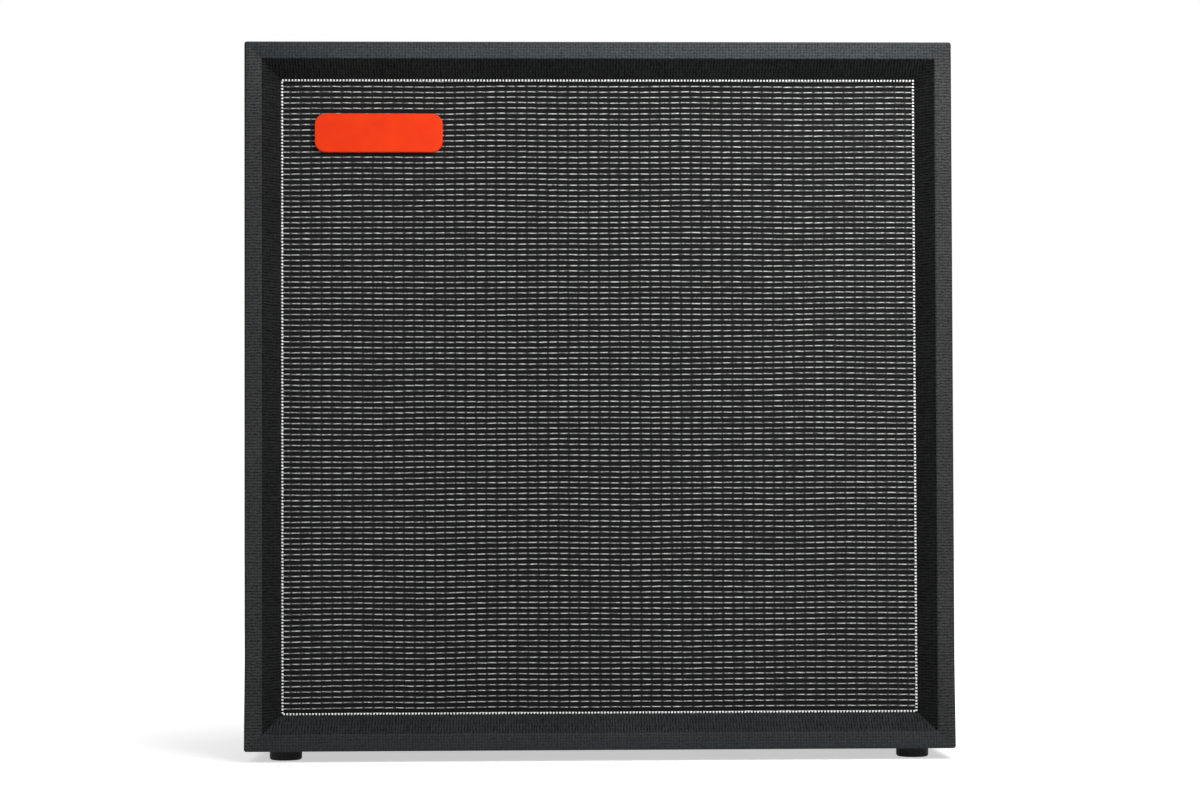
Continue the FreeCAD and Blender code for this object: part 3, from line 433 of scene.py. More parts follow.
@dataclass(frozen=True)
class GroundWeave(Finish):
    """Black yarn ground of the grille cloth, ribbed along its rows.

    Attributes:
        groove: Colour down between the ribs, near black: painted shade in the grooves.
        rib: Colour on top of the black ribs.
        weft: Colour of the silver yarn where it dips behind the ground.
        strand: Colour of the upright binding yarn.
        dip: Share of the silver yarn's colour that shows between the binding yarns.
        yarn: Width of one black yarn, drawn about twice as coarse as real to show.
        roughness: Roughness of the yarn.
    """

    name: str
    groove: str = "030303"
    rib: str = "252626"
    weft: str = "6a6b6a"
    strand: str = "202121"
    dip: float = 0.35
    yarn: float = 1.0
    roughness: float = 0.8
    shine: float = 0.08
    relief: float = 0.25
    show: float = 0.7

    def paint(self, tree: Tree, place: Socket) -> Looks:
        """Colours the ground by the marks that its mesh carries, with a fine yarn texture.

        Args:
            tree: The material's tree.
            place: Place on the object.

        Returns:
            The shader's inputs, and the height of the relief.
        """
        rib, weft, strand = (add_node(tree, MARK, attribute_name=mark).outputs["Fac"] for mark in CLOTH_MARKS)
        fibres = {"Vector": place, "Scale": per_mm(self.yarn), "Detail": 3.0, "Roughness": 0.7}
        yarn = add_node(tree, NOISE, fibres)
        top = add_node(tree, MATH, (rib, yarn), operation="MULTIPLY")
        gap = add_node(tree, MATH, (strand, weft), operation="MULTIPLY")
        dip = add_node(tree, MATH, (weft, self.dip, gap), operation="MULTIPLY_ADD")
        # The ground starts from the grooves' near-black colour, painted shade between the ribs
        shade: Any = linear(self.groove)
        for amount, tint in ((top, self.rib), (strand, self.strand), (dip, self.weft)):
            tones = {"Factor": amount, MIX_A: shade, MIX_B: linear(tint)}
            shade = add_node(tree, MIX, tones, data_type="RGBA")
        return {"Base Color": shade, "Roughness": self.roughness}, yarn


@dataclass(frozen=True)
class FloatYarn(Finish):
    """Silver-white yarn of the cloth's floats, twisted and uneven.

    Attributes:
        dull: Colour of the dullest floats.
        bright: Colour of the brightest floats.
        own: How much a float's own shade counts beside the lumps along it.
        twist: Length of one turn of the yarn's twist.
        slant: Slant of the twist in degrees.
        lump: Length of one lighter lump along the yarn.
        roughness: Roughness of the yarn.
    """

    name: str
    dull: str = "5e5f5e"
    bright: str = "f2f3f1"
    own: float = 0.35
    twist: float = 1.6
    slant: float = 35.0
    lump: float = 2.4
    roughness: float = 0.45
    shine: float = 0.3
    relief: float = 0.2
    show: float = 0.6

    def paint(self, tree: Tree, place: Socket) -> Looks:
        """Mixes the colours by each float's own shade and by the yarn's lumps, over its twist.

        Args:
            tree: The material's tree.
            place: Place on the object.

        Returns:
            The shader's inputs, and the height of the relief.
        """
        own = add_node(tree, MARK, attribute_name="shade").outputs["Fac"]
        turned = add_node(tree, MAPPING, {"Vector": place, "Rotation": (0.0, math.radians(self.slant), 0.0)})
        plies = {"Vector": turned, "Scale": bands_per_mm(self.twist), "Distortion": 1.5, "Detail": 1.0}
        twist = add_node(tree, WAVE, plies).outputs["Fac"]
        fibres = {"Vector": place, "Scale": per_mm(self.lump), "Detail": 1.0, "Roughness": 0.6}
        lumps = add_node(tree, RANGE, (add_node(tree, NOISE, fibres), *HARD_SPAN))
        amount = add_node(tree, MIX, {"Factor": self.own, "A": lumps, "B": own}, data_type="FLOAT")
        tones = {"Factor": amount, MIX_A: linear(self.dull), MIX_B: linear(self.bright)}
        shade = add_node(tree, MIX, tones, data_type="RGBA")
        return {"Base Color": shade, "Roughness": self.roughness}, twist


# Embossed PVC leathercloth: a dull canvas grain that breaks up the light, with painted shade in its
# near-black creases
VINYL_FACE = Vinyl("pvc_covering_as_rolled", Grain.EVEN)
# Painted light along the top, where the lamp from above falls: a lighter, bluer grey, with its creases less
# deep in tone
VINYL_TOP_EDGE = Vinyl("pvc_covering_painted_light_along_top", Grain.CROSSED, "181a1b", "42474a")
# Pulled tight over the lower edge: a flatter grain of little contrast
VINYL_LOW_EDGE = Vinyl("pvc_covering_over_level_edge", Grain.CROSSED, "1b1c1e", "353738")
# Pulled round the upright edges: level threads stand out
VINYL_SIDE_EDGE = Vinyl("pvc_covering_over_upright_edge", Grain.LEVEL)
# Stretched on the bevels: long fine strokes across each strip, without gloss; their near-black tones are
# painted shade of the recess, least on the lower bevel, which faces up
VINYL_TOP_BEVEL = Vinyl("pvc_covering_in_painted_shade_on_upper_bevel", Grain.UPRIGHT, "080808", "2d2f2e", 0.12, 0.03)
VINYL_LOW_BEVEL = Vinyl("pvc_covering_in_painted_shade_on_lower_bevel", Grain.UPRIGHT, "0b0b0c", "353738", 0.12, 0.05)
VINYL_SIDE_BEVEL = Vinyl("pvc_covering_in_painted_shade_on_upright_bevel", Grain.LEVEL, "050505", "262827", 0.12, 0.05)
# Matt spun yarn: soft black ribs, deep grooves darkened by painted shade, and grey dips where the silver yarn
# goes behind
GROUND_WEAVE = GroundWeave("black_yarn_ground")
# Twisted silver yarn: uneven bright lumps with a low sheen
FLOAT_YARN = FloatYarn("silver_float_yarn")
# Bleached wound yarn: clean white turns with soft shade at their edges
WHITE_CORD = Speckled("white_wound_yarn", "f4f4f2", "fefefd", 2.0, 0.45, relief=0.03)
# Near-black core of the cord: painted shade in the gap between two white turns
CORD_SHADE_CORE = Speckled("cord_gap_painted_shade", "030303", "080808", 2.0, 0.8, relief=0.03, shine=0.02)
# Moulded ABS: an even, strong orange with a faint satin sheen
ORANGE_ABS = Speckled("orange_moulded_abs", "e03206", "e83a0b", 24.0, 0.35, 0.05, 0.02, shine=0.15)
# Moulded rubber: dull dark grey with a fine dusty mottle
FOOT_RUBBER = Speckled("moulded_black_rubber", "202020", "363736", 1.6, 0.7, 0.1, 0.08, ior=1.52, shine=0.25)
# ABS from a spark-eroded mould: black, with small soft glints on its pebbles
BLACK_ABS = Speckled("textured_black_abs", "0d0d0e", "1a1b1c", 1.1, 0.55, relief=0.12, ior=1.54)
# Zinc plating: cool bright metal with a faint cloudy spangle
ZINC_STEEL = Speckled("bright_zinc_steel", "a4a6a5", "c2c4c1", 6.0, 0.34, 0.05, 0.004, metallic=1.0)
# Stoved enamel on pressed steel: smooth black with clear soft highlights
BLACK_STEEL = Speckled("black_enamelled_steel", "0c0c0c", "171717", 2.0, 0.38, 0.08, 0.04, ior=1.52)
# Plies show long streaks along their grain: just seen where stained black, darker on pale wood where bare
ALONG_X = (0.12, 1.0, 1.0)
ALONG_Z = (1.0, 1.0, 0.12)
BLACK_PLY = Speckled("black_stained_birch_ply", "0b0b0b", "1b1a19", 3.0, 0.75, relief=0.1, stretch=ALONG_Z)
BIRCH_PLY = Speckled("birch_ply", "a98557", "d0ad7a", 6.0, 0.6, relief=0.08, stretch=ALONG_X)
UPRIGHT_PLY = Speckled("upright_birch_ply", "a98557", "d0ad7a", 6.0, 0.6, relief=0.08, stretch=ALONG_Z)
# Pulped paper: matt black fibre with a felted surface
CONE_PAPER = Speckled("pulped_black_paper", "141414", "232221", 2.2, 0.85, relief=0.12)
# Doped cloth: black weave under a slightly wet sheen
DOPED_CLOTH = Speckled("doped_cotton_cloth", "121110", "211f1d", 1.2, 0.5, relief=0.1)
# Resin-stiffened cotton: amber cloth, dull as wax
SPIDER_CLOTH = Speckled("resin_stiffened_cotton", "8a6224", "b58a3e", 1.2, 0.7, relief=0.1)
# Close-wound copper wire: warm metal with a fine change of tone
COIL_FORMER = Speckled("wound_copper_coil", "a4552b", "cf8450", 1.0, 0.4, metallic=1.0)
# Copper braid: warm metal that glints in small flecks
COPPER_BRAID = Speckled("tinned_copper_braid", "b4703f", "d8a577", 0.8, 0.4, metallic=1.0, relief=0.15)
# Sintered ferrite: slate grey with a dry grit
FERRITE = Speckled("sintered_ferrite", "1b1b1d", "2d2d30", 2.5, 0.6, relief=0.08)
# Gasket card: dull grey-brown fibre
GASKET_CARD = Speckled("grey_gasket_card", "3a3733", "57534c", 1.6, 0.9, relief=0.08)
# Phenolic board: dark brown with a slight gloss
PHENOLIC = Speckled("brown_phenolic_board", "4d2c16", "6b4022", 2.0, 0.5, relief=0.03)
# Drawn PVC on wire: smooth black with one soft highlight along it
WIRE_PVC = Speckled("black_wire_pvc", "161616", "242424", 4.0, 0.45, relief=0.02)

NODE_FINISHES: dict[Finish, tuple[str, ...]] = {
    VINYL_TOP_BEVEL: ("bevel_strip_top",),
    VINYL_LOW_BEVEL: ("bevel_strip_bottom",),
    VINYL_SIDE_BEVEL: ("bevel_strip_left", "bevel_strip_right"),
    VINYL_FACE: ("back_panel",),
    ORANGE_ABS: ("badge_plate",),
    FOOT_RUBBER: ("rubber_feet",),
    BLACK_ABS: ("handle_left", "handle_right", "jack_sockets", "cable_clips"),
    ZINC_STEEL: (
        *(f"{place}_screws" for place in ("back_panel", "baffle", "foot", "handle")),
        *("speaker_bolts", "tee_nuts", "front_plates", "back_plates", "jack_plate_fasteners"),
    ),
    BLACK_STEEL: ("jack_plate", *(f"basket_{place}" for place in DRIVERS)),
    BLACK_PLY: ("baffle_board",),
    BIRCH_PLY: ("top_panel", "bottom_panel", "back_battens"),
    UPRIGHT_PLY: ("left_side", "right_side", "centre_post"),
    CONE_PAPER: tuple(f"{part}_{place}" for part in ("cone", "dust_cap") for place in DRIVERS),
    COIL_FORMER: tuple(f"voice_coil_{place}" for place in DRIVERS),
    FERRITE: ("magnets",),
    GASKET_CARD: ("gaskets",),
    PHENOLIC: ("terminal_strips",),
    WIRE_PVC: ("wiring_loom",),
}


def new_tree(name: str, inputs: Mapping[str, float]) -> tuple[Tree, Mapping[str, Socket]]:
    """Starts a geometry tree with named inputs.

    Args:
        name: The tree's name.
        inputs: Names and values of its lengths, counts and seed.

    Returns:
        The tree with its output declared, and the sockets that give its inputs.
    """
    tree = bpy.data.node_groups.new(name, "GeometryNodeTree")
    tree.interface.new_socket("Geometry", in_out="OUTPUT", socket_type="NodeSocketGeometry")
    for label, value in inputs.items():
        kind = "NodeSocketInt" if isinstance(value, int) else "NodeSocketFloat"
        tree.interface.new_socket(label, in_out="INPUT", socket_type=kind).default_value = value
    return tree, add_node(tree, "NodeGroupInput").outputs


def end_tree(tree: Tree, geometry: Node, finish: Finish) -> None:
    """Realizes a tree's instances, gives them their finish and sends them out.

    Args:
        tree: The tree to end.
        geometry: Node that gives its geometry.
        finish: Finish of the geometry.
    """
    real = add_node(tree, "GeometryNodeRealizeInstances", (geometry,))
    smooth = add_node(tree, "GeometryNodeSetShadeSmooth", (real,))
    dressed = add_node(tree, "GeometryNodeSetMaterial", {"Geometry": smooth, "Material": finish.material()})
    add_node(tree, "NodeGroupOutput", (dressed,))


def grow(name: str, tree: Tree, inputs: Mapping[str, float]) -> Piece:
    """Runs a geometry tree and keeps its result as a plain mesh.

    Args:
        name: Name of the new piece.
        tree: The tree to run.
        inputs: Values of its named inputs.

    Returns:
        The new piece, at the origin and with no modifier.
    """
    carrier = new_object(name + ".carrier", bpy.data.meshes.new(name + ".carrier"))
    modifier = carrier.modifiers.new("grow", "NODES")
    modifier.node_group = tree
    for item in tree.interface.items_tree:
        if item.in_out == "INPUT":
            modifier[item.identifier] = inputs[item.name]
    bpy.context.view_layer.update()
    graph = bpy.context.evaluated_depsgraph_get()
    mesh = bpy.data.meshes.new_from_object(carrier.evaluated_get(graph), depsgraph=graph)
    bpy.data.objects.remove(carrier)
    mesh.name = name
    return new_object(name, mesh)


@dataclass
class GrilleCloth:
    """Cloth stretched over the baffle: a ribbed black ground with rows of silver floats.

    Attributes:
        row_pitch: Height of one row.
        float_pitch: Distance from one float to the next.
        float_length: Length of one float.
        float_width: Width of one float.
        float_rise: How far a float stands out of the ground.
        float_depth: Depth of a float as a share of its width.
        swell: Share of a float's width by which its swellings change it.
        swellings: Number of swellings of a float.
        end_width: Width of a float's ends as a share of its middle's.
        dive: How far a float's ends dive into the ground, as a share of its rise.
        stations: Rings of points along a float.
        sides: Facets round the front of a float.
        shift: Most that a float lies off its place along X, Y and Z.
        tilt: Most that a float leans in its row, in radians.
        least: Least scale of a float along X, Y and Z.
        most: Most scale of a float along X, Y and Z.
        rib_depth: Half the depth of the ground's ribs.
        rib_steps: Facets of the ground in half a row.
        float_steps: Facets of the ground from one float to the next.
        sag: Most that a row wanders up or down.
        sag_size: Length over which the rows wander.
        bands: Number of pieces that the floats are kept in.
        seed_step: Difference between the seeds of two bands.
    """

    row_pitch: float = 5.88 * MM
    float_pitch: float = 11.1 * MM
    float_length: float = 10.4 * MM
    float_width: float = 1.05 * MM
    float_rise: float = 0.5 * MM
    float_depth: float = 0.55
    swell: float = 0.14
    swellings: int = 3
    end_width: float = 0.3
    dive: float = 1.6
    stations: int = 8
    sides: int = 4
    shift: Triple = (0.5 * MM, 0.05 * MM, 0.12 * MM)
    tilt: float = 0.05
    least: Triple = (0.88, 0.8, 0.85)
    most: Triple = (1.1, 1.15, 1.1)
    rib_depth: float = 0.22 * MM
    rib_steps: int = 2
    float_steps: int = 3
    sag: float = 2.2 * MM
    sag_size: float = 150 * MM
    bands: int = 3
    seed_step: int = 10

    def __post_init__(self) -> None:
        """Takes the cloth's place and its rows and columns from the modelled pieces."""
        low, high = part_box("grille_cloth")
        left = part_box("bevel_strip_left")[1].x
        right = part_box("bevel_strip_right")[0].x
        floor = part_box("bevel_strip_bottom")[1].z
        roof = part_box("bevel_strip_top")[0].z
        self.middle = Vector(((left + right) / 2, (low.y + high.y) / 2, (floor + roof) / 2))
        self.columns = math.ceil((right - left) / self.float_pitch)
        self.rows = math.ceil((roof - floor) / self.row_pitch)
        self.sheet_size = (high.x - low.x, high.z - low.z)

    def build(self) -> list[Piece]:
        """Makes the ground and the floats.

        Returns:
            The ground, then the bands of floats.
        """
        ground = self.make_ground()
        floats = self.make_floats()
        for piece in (ground, *floats):
            stand_for(piece, "grille_cloth")
        return [ground, *floats]

    def add_wander(self, tree: Tree, place: Node) -> Node:
        """Adds the slow up and down wander of the rows, the same for ground and floats.

        Args:
            tree: Tree that gets the nodes.
            place: Place on the flat cloth.

        Returns:
            The wander.
        """
        waves = {"Vector": place, "Scale": 1 / self.sag_size, "Detail": 1.0, "Roughness": 0.4}
        centred = add_node(tree, MATH, (add_node(tree, NOISE, waves), 0.5), operation="SUBTRACT")
        return add_node(tree, MATH, (centred, 2 * self.sag), operation="MULTIPLY")

    def make_ground(self) -> Piece:
        """Makes the ribbed ground as one sheet, with marks for its finish.

        Returns:
            The ground.
        """
        width, height = self.sheet_size
        half_rows = math.ceil(height / self.row_pitch * 2)
        inputs = {
            "Width": width,
            "Height": half_rows * self.row_pitch / 2,
            "Across": self.float_steps * math.ceil(width / self.float_pitch) + 1,
            "Up": self.rib_steps * half_rows + 1,
            "Row Pitch": self.row_pitch,
            "Float Pitch": self.float_pitch,
        }
        tree, given = new_tree("ribbed_ground", inputs)
        geometry = add_node(tree, GRID, [given[label] for label in ("Width", "Height", "Across", "Up")])
        flat = add_node(tree, SEPARATE, (add_node(tree, POSITION),)).outputs
        turns = {}
        for axis, pitch, count in (("Y", "Row Pitch", self.rows), ("X", "Float Pitch", self.columns)):
            steps = add_node(tree, MATH, (flat[axis], given[pitch]), operation="DIVIDE")
            turns[axis] = add_node(tree, MATH, (steps, (count - 1) / 2), operation="ADD")
        waves = {}
        for mark, (axis, repeats, start, end) in CLOTH_MARKS.items():
            angle = add_node(tree, MATH, (turns[axis], repeats * math.pi), operation="MULTIPLY")
            waves[mark] = add_node(tree, MATH, (angle,), operation="COSINE")
            amount = add_node(tree, RANGE, (waves[mark], start, end))
            stored = {"Geometry": geometry, "Name": mark, "Value": amount}
            geometry = add_node(tree, STORE, stored, data_type="FLOAT", domain="POINT")
        lift = add_node(tree, MATH, (waves["rib"], -self.rib_depth, self.middle.y), operation="MULTIPLY_ADD")
        place = add_node(tree, COMBINE, {"X": flat["X"], "Z": flat["Y"]})
        up = add_node(tree, MATH, (flat["Y"], self.add_wander(tree, place)), operation="ADD")
        level = add_node(tree, MATH, (up, self.middle.z), operation="ADD")
        stood = add_node(tree, COMBINE, (flat["X"], lift, level))
        end_tree(tree, add_node(tree, MOVE, {"Geometry": geometry, "Position": stood}), GROUND_WEAVE)
        return grow("grille_cloth_ground", tree, inputs)

    def make_float(self) -> Piece:
        """Makes one float: a low arched yarn with soft swellings, ends sunk in the ground.

        Returns:
            The float, its middle at the origin.
        """
        form = bmesh.new()
        rings = []
        for station in range(self.stations):
            share = 2 * station / (self.stations - 1) - 1
            swell = 1 - self.swell + self.swell * math.cos(self.swellings * math.pi * share)
            radius = self.float_width / 2 * max((1 - abs(share) ** 4) ** 0.5 * swell, self.end_width)
            rise = self.float_rise * (1 - self.dive * share**4)
            ring = []
            for side in range(self.sides + 1):
                angle = math.pi * (side / self.sides - 0.5)
                front = -rise - self.float_depth * radius * math.cos(angle)
                ring.append(form.verts.new((share * self.float_length / 2, front, radius * math.sin(angle))))
            rings.append(ring)
        for first, last in zip(rings, rings[1:]):
            for side in range(self.sides):
                form.faces.new((first[side], last[side], last[side + 1], first[side + 1]))
            form.faces.new((first[self.sides], last[self.sides], last[0], first[0]))
        form.faces.new(rings[0])
        form.faces.new(reversed(rings[-1]))
        return keep("float_yarn", form)

    def make_floats(self) -> list[Piece]:
        """Sets the floats in rows and columns, each a little different.

        Returns:
            The floats in bands of rows, from the lowest up.
        """
        yarn = self.make_float()
        inputs = {
            "Row Pitch": self.row_pitch,
            "Float Pitch": self.float_pitch,
            "Level": 0.0,
            "Rows": self.rows,
            "Columns": self.columns,
            "Seed": SEED,
        }
        tree, given = new_tree("silver_floats", inputs)
        spans = []
        for count, pitch in (("Columns", "Float Pitch"), ("Rows", "Row Pitch")):
            gaps = add_node(tree, MATH, (given[count], 1.0), operation="SUBTRACT")
            spans.append(add_node(tree, MATH, (gaps, given[pitch]), operation="MULTIPLY"))
        grid = add_node(tree, GRID, (*spans, given["Columns"], given["Rows"]))
        flat = add_node(tree, SEPARATE, (add_node(tree, POSITION),)).outputs
        level = add_node(tree, MATH, (flat["Y"], given["Level"]), operation="ADD")
        place = add_node(tree, COMBINE, {"X": flat["X"], "Z": level})
        wander = add_node(tree, COMBINE, {"Y": self.middle.y, "Z": self.add_wander(tree, place)})
        next_seed = add_node(tree, MATH, (given["Seed"], 1.0), operation="ADD")
        shift, tilt, scale = (
            add_node(tree, RANDOM, {0: least, 1: most, "Seed": seed}, data_type="FLOAT_VECTOR")
            for least, most, seed in (
                (-Vector(self.shift), self.shift, given["Seed"]),
                ((0.0, -self.tilt, 0.0), (0.0, self.tilt, 0.0), next_seed),
                (self.least, self.most, next_seed),
            )
        )
        settled = place
        for step in (wander, (self.middle.x, 0.0, self.middle.z), shift):
            settled = add_node(tree, VECTOR_MATH, (settled, step), operation="ADD")
        points = add_node(tree, MOVE, {"Geometry": grid, "Position": settled})
        shape = add_node(tree, "GeometryNodeObjectInfo", {"Object": yarn}).outputs["Geometry"]
        laid = add_node(tree, SPREAD, {"Points": points, "Instance": shape, "Rotation": tilt, "Scale": scale})
        shade = add_node(tree, RANDOM, {"Seed": given["Seed"]}, data_type="FLOAT")
        stored = {"Geometry": laid, "Name": "shade", "Value": shade}
        end_tree(tree, add_node(tree, STORE, stored, data_type="FLOAT", domain="INSTANCE"), FLOAT_YARN)
        pieces = []
        done = 0
        for band in range(self.bands):
            rows = self.rows * (band + 1) // self.bands - done
            middle = (done + (rows - 1) / 2 - (self.rows - 1) / 2) * self.row_pitch
            inputs |= {"Level": middle, "Rows": rows, "Seed": SEED + self.seed_step * band}
            pieces.append(grow(f"grille_cloth_floats_{band + 1}", tree, inputs))
            done += rows
        bpy.data.objects.remove(yarn)
        return pieces


@dataclass
class Piping:
    """Cord in the corner under the bevel: turns of white yarn that stand apart on a near-black core, which
    paints the shade between the turns.

    Attributes:
        pitch: Distance from one turn to the next.
        turn_length: Length of one turn along the cord.
        lean: How far a turn leans along the cord in degrees.
        least: Least scale of a turn along the cord, across it and in depth.
        most: Most scale of a turn along the cord, across it and in depth.
        core: Radius of the core.
        sides: Sides of the core and of a turn.
        rings: Rings of a turn.
    """

    pitch: float = 3.45 * MM
    turn_length: float = 3.0 * MM
    lean: float = 18.0
    least: Triple = (0.85, 0.9, 0.95)
    most: Triple = (1.1, 1.0, 1.0)
    core: float = 1.0 * MM
    sides: int = 10
    rings: int = 6

    def __post_init__(self) -> None:
        """Takes the cord's place and thickness from the modelled piping."""
        low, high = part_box("white_piping")
        self.middle = (low + high) / 2
        self.radius = (high.y - low.y) / 2
        self.width = high.x - low.x - 2 * self.radius
        self.height = high.z - low.z - 2 * self.radius

    def build(self) -> list[Piece]:
        """Makes the cord as a closed loop round the cloth.

        Returns:
            The core and the turns.
        """
        pieces = [self.make_core(), self.make_turns()]
        for piece in pieces:
            stand_for(piece, "white_piping")
        return pieces

    def stand(self, tree: Tree, geometry: Node) -> Node:
        """Stands flat geometry up round the middle of the cloth.

        Args:
            tree: Tree that gets the node.
            geometry: Node that gives the flat geometry.

        Returns:
            The node that gives the upright geometry.
        """
        turn = (math.radians(90.0), 0.0, 0.0)
        placed = {"Geometry": geometry, "Translation": self.middle, "Rotation": turn}
        return add_node(tree, "GeometryNodeTransform", placed)

    def make_core(self) -> Piece:
        """Makes the near-black core as a tube, painted shade that shows between the white turns.

        Returns:
            The core.
        """
        inputs = {"Width": self.width, "Height": self.height, "Radius": self.core, "Sides": self.sides}
        tree, given = new_tree("cord_core", inputs)
        loop = add_node(tree, LOOP, (given["Width"], given["Height"]))
        section = {"Resolution": given["Sides"], "Radius": given["Radius"]}
        ring = add_node(tree, "GeometryNodeCurvePrimitiveCircle", section)
        tube = add_node(tree, "GeometryNodeCurveToMesh", (loop, ring))
        end_tree(tree, self.stand(tree, tube), CORD_SHADE_CORE)
        return grow("white_piping_core", tree, inputs)

    def make_turns(self) -> Piece:
        """Sets the white turns along the core, each a little different.

        Returns:
            The turns, as one piece.
        """
        length = 2 * (self.width + self.height)
        inputs = {
            "Width": self.width,
            "Height": self.height,
            "Pitch": length / round(length / self.pitch),
            "Half Length": self.turn_length / 2,
            "Radius": self.radius,
            "Lean": math.radians(self.lean),
            "Sides": self.sides,
            "Rings": self.rings,
            "Seed": SEED,
        }
        tree, given = new_tree("cord_turns", inputs)
        loop = add_node(tree, LOOP, (given["Width"], given["Height"]))
        spacing = {"Curve": loop, "Length": given["Pitch"]}
        points = add_node(tree, "GeometryNodeResampleCurve", spacing, mode="LENGTH")
        along = add_node(tree, SEPARATE, (add_node(tree, "GeometryNodeInputTangent"),)).outputs
        heading = add_node(tree, MATH, (along["Y"], along["X"]), operation="ARCTAN2")
        leaning = add_node(tree, MATH, (heading, given["Lean"]), operation="ADD")
        turned = add_node(tree, COMBINE, {"Z": leaning})
        ball = add_node(tree, "GeometryNodeMeshUVSphere", (given["Sides"], given["Rings"], 1.0))
        size = add_node(tree, COMBINE, (given["Half Length"], given["Radius"], given["Radius"]))
        limits = {0: self.least, 1: self.most, "Seed": given["Seed"]}
        change = add_node(tree, RANDOM, limits, data_type="FLOAT_VECTOR")
        scale = add_node(tree, VECTOR_MATH, (size, change), operation="MULTIPLY")
        spread = {"Points": points, "Instance": ball, "Rotation": turned, "Scale": scale}
        end_tree(tree, self.stand(tree, add_node(tree, SPREAD, spread)), WHITE_CORD)
        return grow("white_piping_turns", tree, inputs)


@dataclass
class VinylShell:
    """Vinyl glued round the shell and turned in at its front and rear edges.

    Attributes:
        corner: Radius of the shell's long edges.
        corner_steps: Facets of a rounded long edge.
        side_steps: Facets of half a side.
        flat_start: Width of the strip beside a rounded edge that takes up its change of shading.
        crown: How far the front band's inner edge stands proud.
        crown_steps: Facets across the front band.
        lip: Radius of the front band's inner edge.
        seam_depth: Depth of the mitre seams.
        seam_half: Half the width of a mitre seam.
        seam_reach: How far back from the front the mitre seams go.
        flare: How far the fold stands out at the lower front corners.
        flare_reach: Height of that fold, which goes twice as far back.
        rear_fold: Points of the rear edge's fold, past the panel's inner face and before the back.
        turn_in: How far the rear edge goes in past the face of the back panel.
        handle_lap: How far a handle's flange laps over its opening.
        thickness: Thickness of the sheet.
        merge: Distance within which points are one.
    """

    corner: float = 2.8 * MM
    corner_steps: int = 5
    side_steps: int = 8
    flat_start: float = 1.0 * MM
    crown: float = 0.6 * MM
    crown_steps: int = 4
    lip: float = 1.2 * MM
    seam_depth: float = 0.4 * MM
    seam_half: float = 0.7 * MM
    seam_reach: float = 4.0 * MM
    flare: float = 1.1 * MM
    flare_reach: float = 18.0 * MM
    rear_fold: tuple[Pair, ...] = ((-1.0 * MM, 0.0), (0.0, 0.4 * MM), (0.15 * MM, 1.2 * MM))
    turn_in: float = 4.0 * MM
    handle_lap: float = 15.0 * MM
    thickness: float = 0.7 * MM
    merge: float = 0.01 * MM

    def __post_init__(self) -> None:
        """Takes the shell's size and the handles' openings from the modelled pieces."""
        self.low, self.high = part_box("vinyl_covering")
        self.middle = (self.low + self.high) / 2
        self.half_width = (self.high.x - self.low.x) / 2
        self.half_height = (self.high.z - self.low.z) / 2
        self.reach = self.half_height - self.corner
        self.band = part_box("left_side")[1].x - self.low.x
        low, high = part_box("handle_right")
        self.hole_y = (low.y + self.handle_lap, high.y - self.handle_lap)
        self.hole_z = (low.z + self.handle_lap - self.middle.z, high.z - self.handle_lap - self.middle.z)

    def build(self) -> list[Piece]:
        """Makes the covering as one sheet with openings for the handles.

        Returns:
            The sheet, alone in a list.
        """
        front, rest = self.profile()
        profile = front + rest
        stations = self.stations()
        sheet = bmesh.new()
        grid = [[sheet.verts.new(self.place(station, point)) for point in profile] for station in stations]
        for index, here in enumerate(stations):
            following = (index + 1) % len(stations)
            near, far = grid[index], grid[following]
            for step in range(len(profile) - 1):
                if self.in_hole(here, stations[following], profile[step], profile[step + 1]):
                    continue
                face = sheet.faces.new((near[step], far[step], far[step + 1], near[step + 1]))
                face.smooth = True
                if step < len(front) - 1:
                    face.material_index = BAND_SLOTS[here[0]]
        bmesh.ops.remove_doubles(sheet, verts=sheet.verts, dist=self.merge)
        for edge in sheet.edges:
            edge.smooth = not edge.is_boundary
        piece = keep("vinyl_covering_sheet", sheet)
        for finish in (VINYL_FACE, VINYL_TOP_EDGE, VINYL_LOW_EDGE, VINYL_SIDE_EDGE):
            piece.data.materials.append(finish.material())
        thicken = piece.modifiers.new("thickness", "SOLIDIFY")
        thicken.thickness = self.thickness
        thicken.offset = -1.0
        stand_for(piece, "vinyl_covering")
        return [piece]

    def profile(self) -> tuple[list[Pair], list[Pair]]:
        """Section of the covering as (inset, y).

        Returns:
            The front band from its inner edge outwards, then the rest round to the rear edge's turn-in.
        """
        quarter = [step / self.corner_steps * math.pi / 2 for step in range(self.corner_steps + 1)]
        face = self.low.y - self.crown
        front = [
            (self.band - self.lip * (1 - math.cos(a)), face + self.lip * (1 - math.sin(a))) for a in quarter
        ]
        flat = self.band - self.lip - self.corner
        for step in range(1, self.crown_steps):
            share = step / self.crown_steps
            fall = self.crown * math.sin(share * math.pi / 2)
            front.append((self.band - self.lip - share * flat, face + fall))
        edge = [(self.corner * (1 - math.sin(a)), self.corner * (1 - math.cos(a))) for a in quarter]
        front += [(inset, self.low.y + fall) for inset, fall in edge]
        strip = self.corner + self.flat_start
        rest = [(0.0, depth) for depth in (self.low.y + strip, *self.hole_y, self.high.y - strip)]
        rest += [(inset, self.high.y - fall) for inset, fall in reversed(edge)]
        rest += [(self.band + past, self.high.y - before) for past, before in self.rear_fold]
        rest.append((rest[-1][0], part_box("back_panel")[1].y - self.turn_in))
        return front, rest

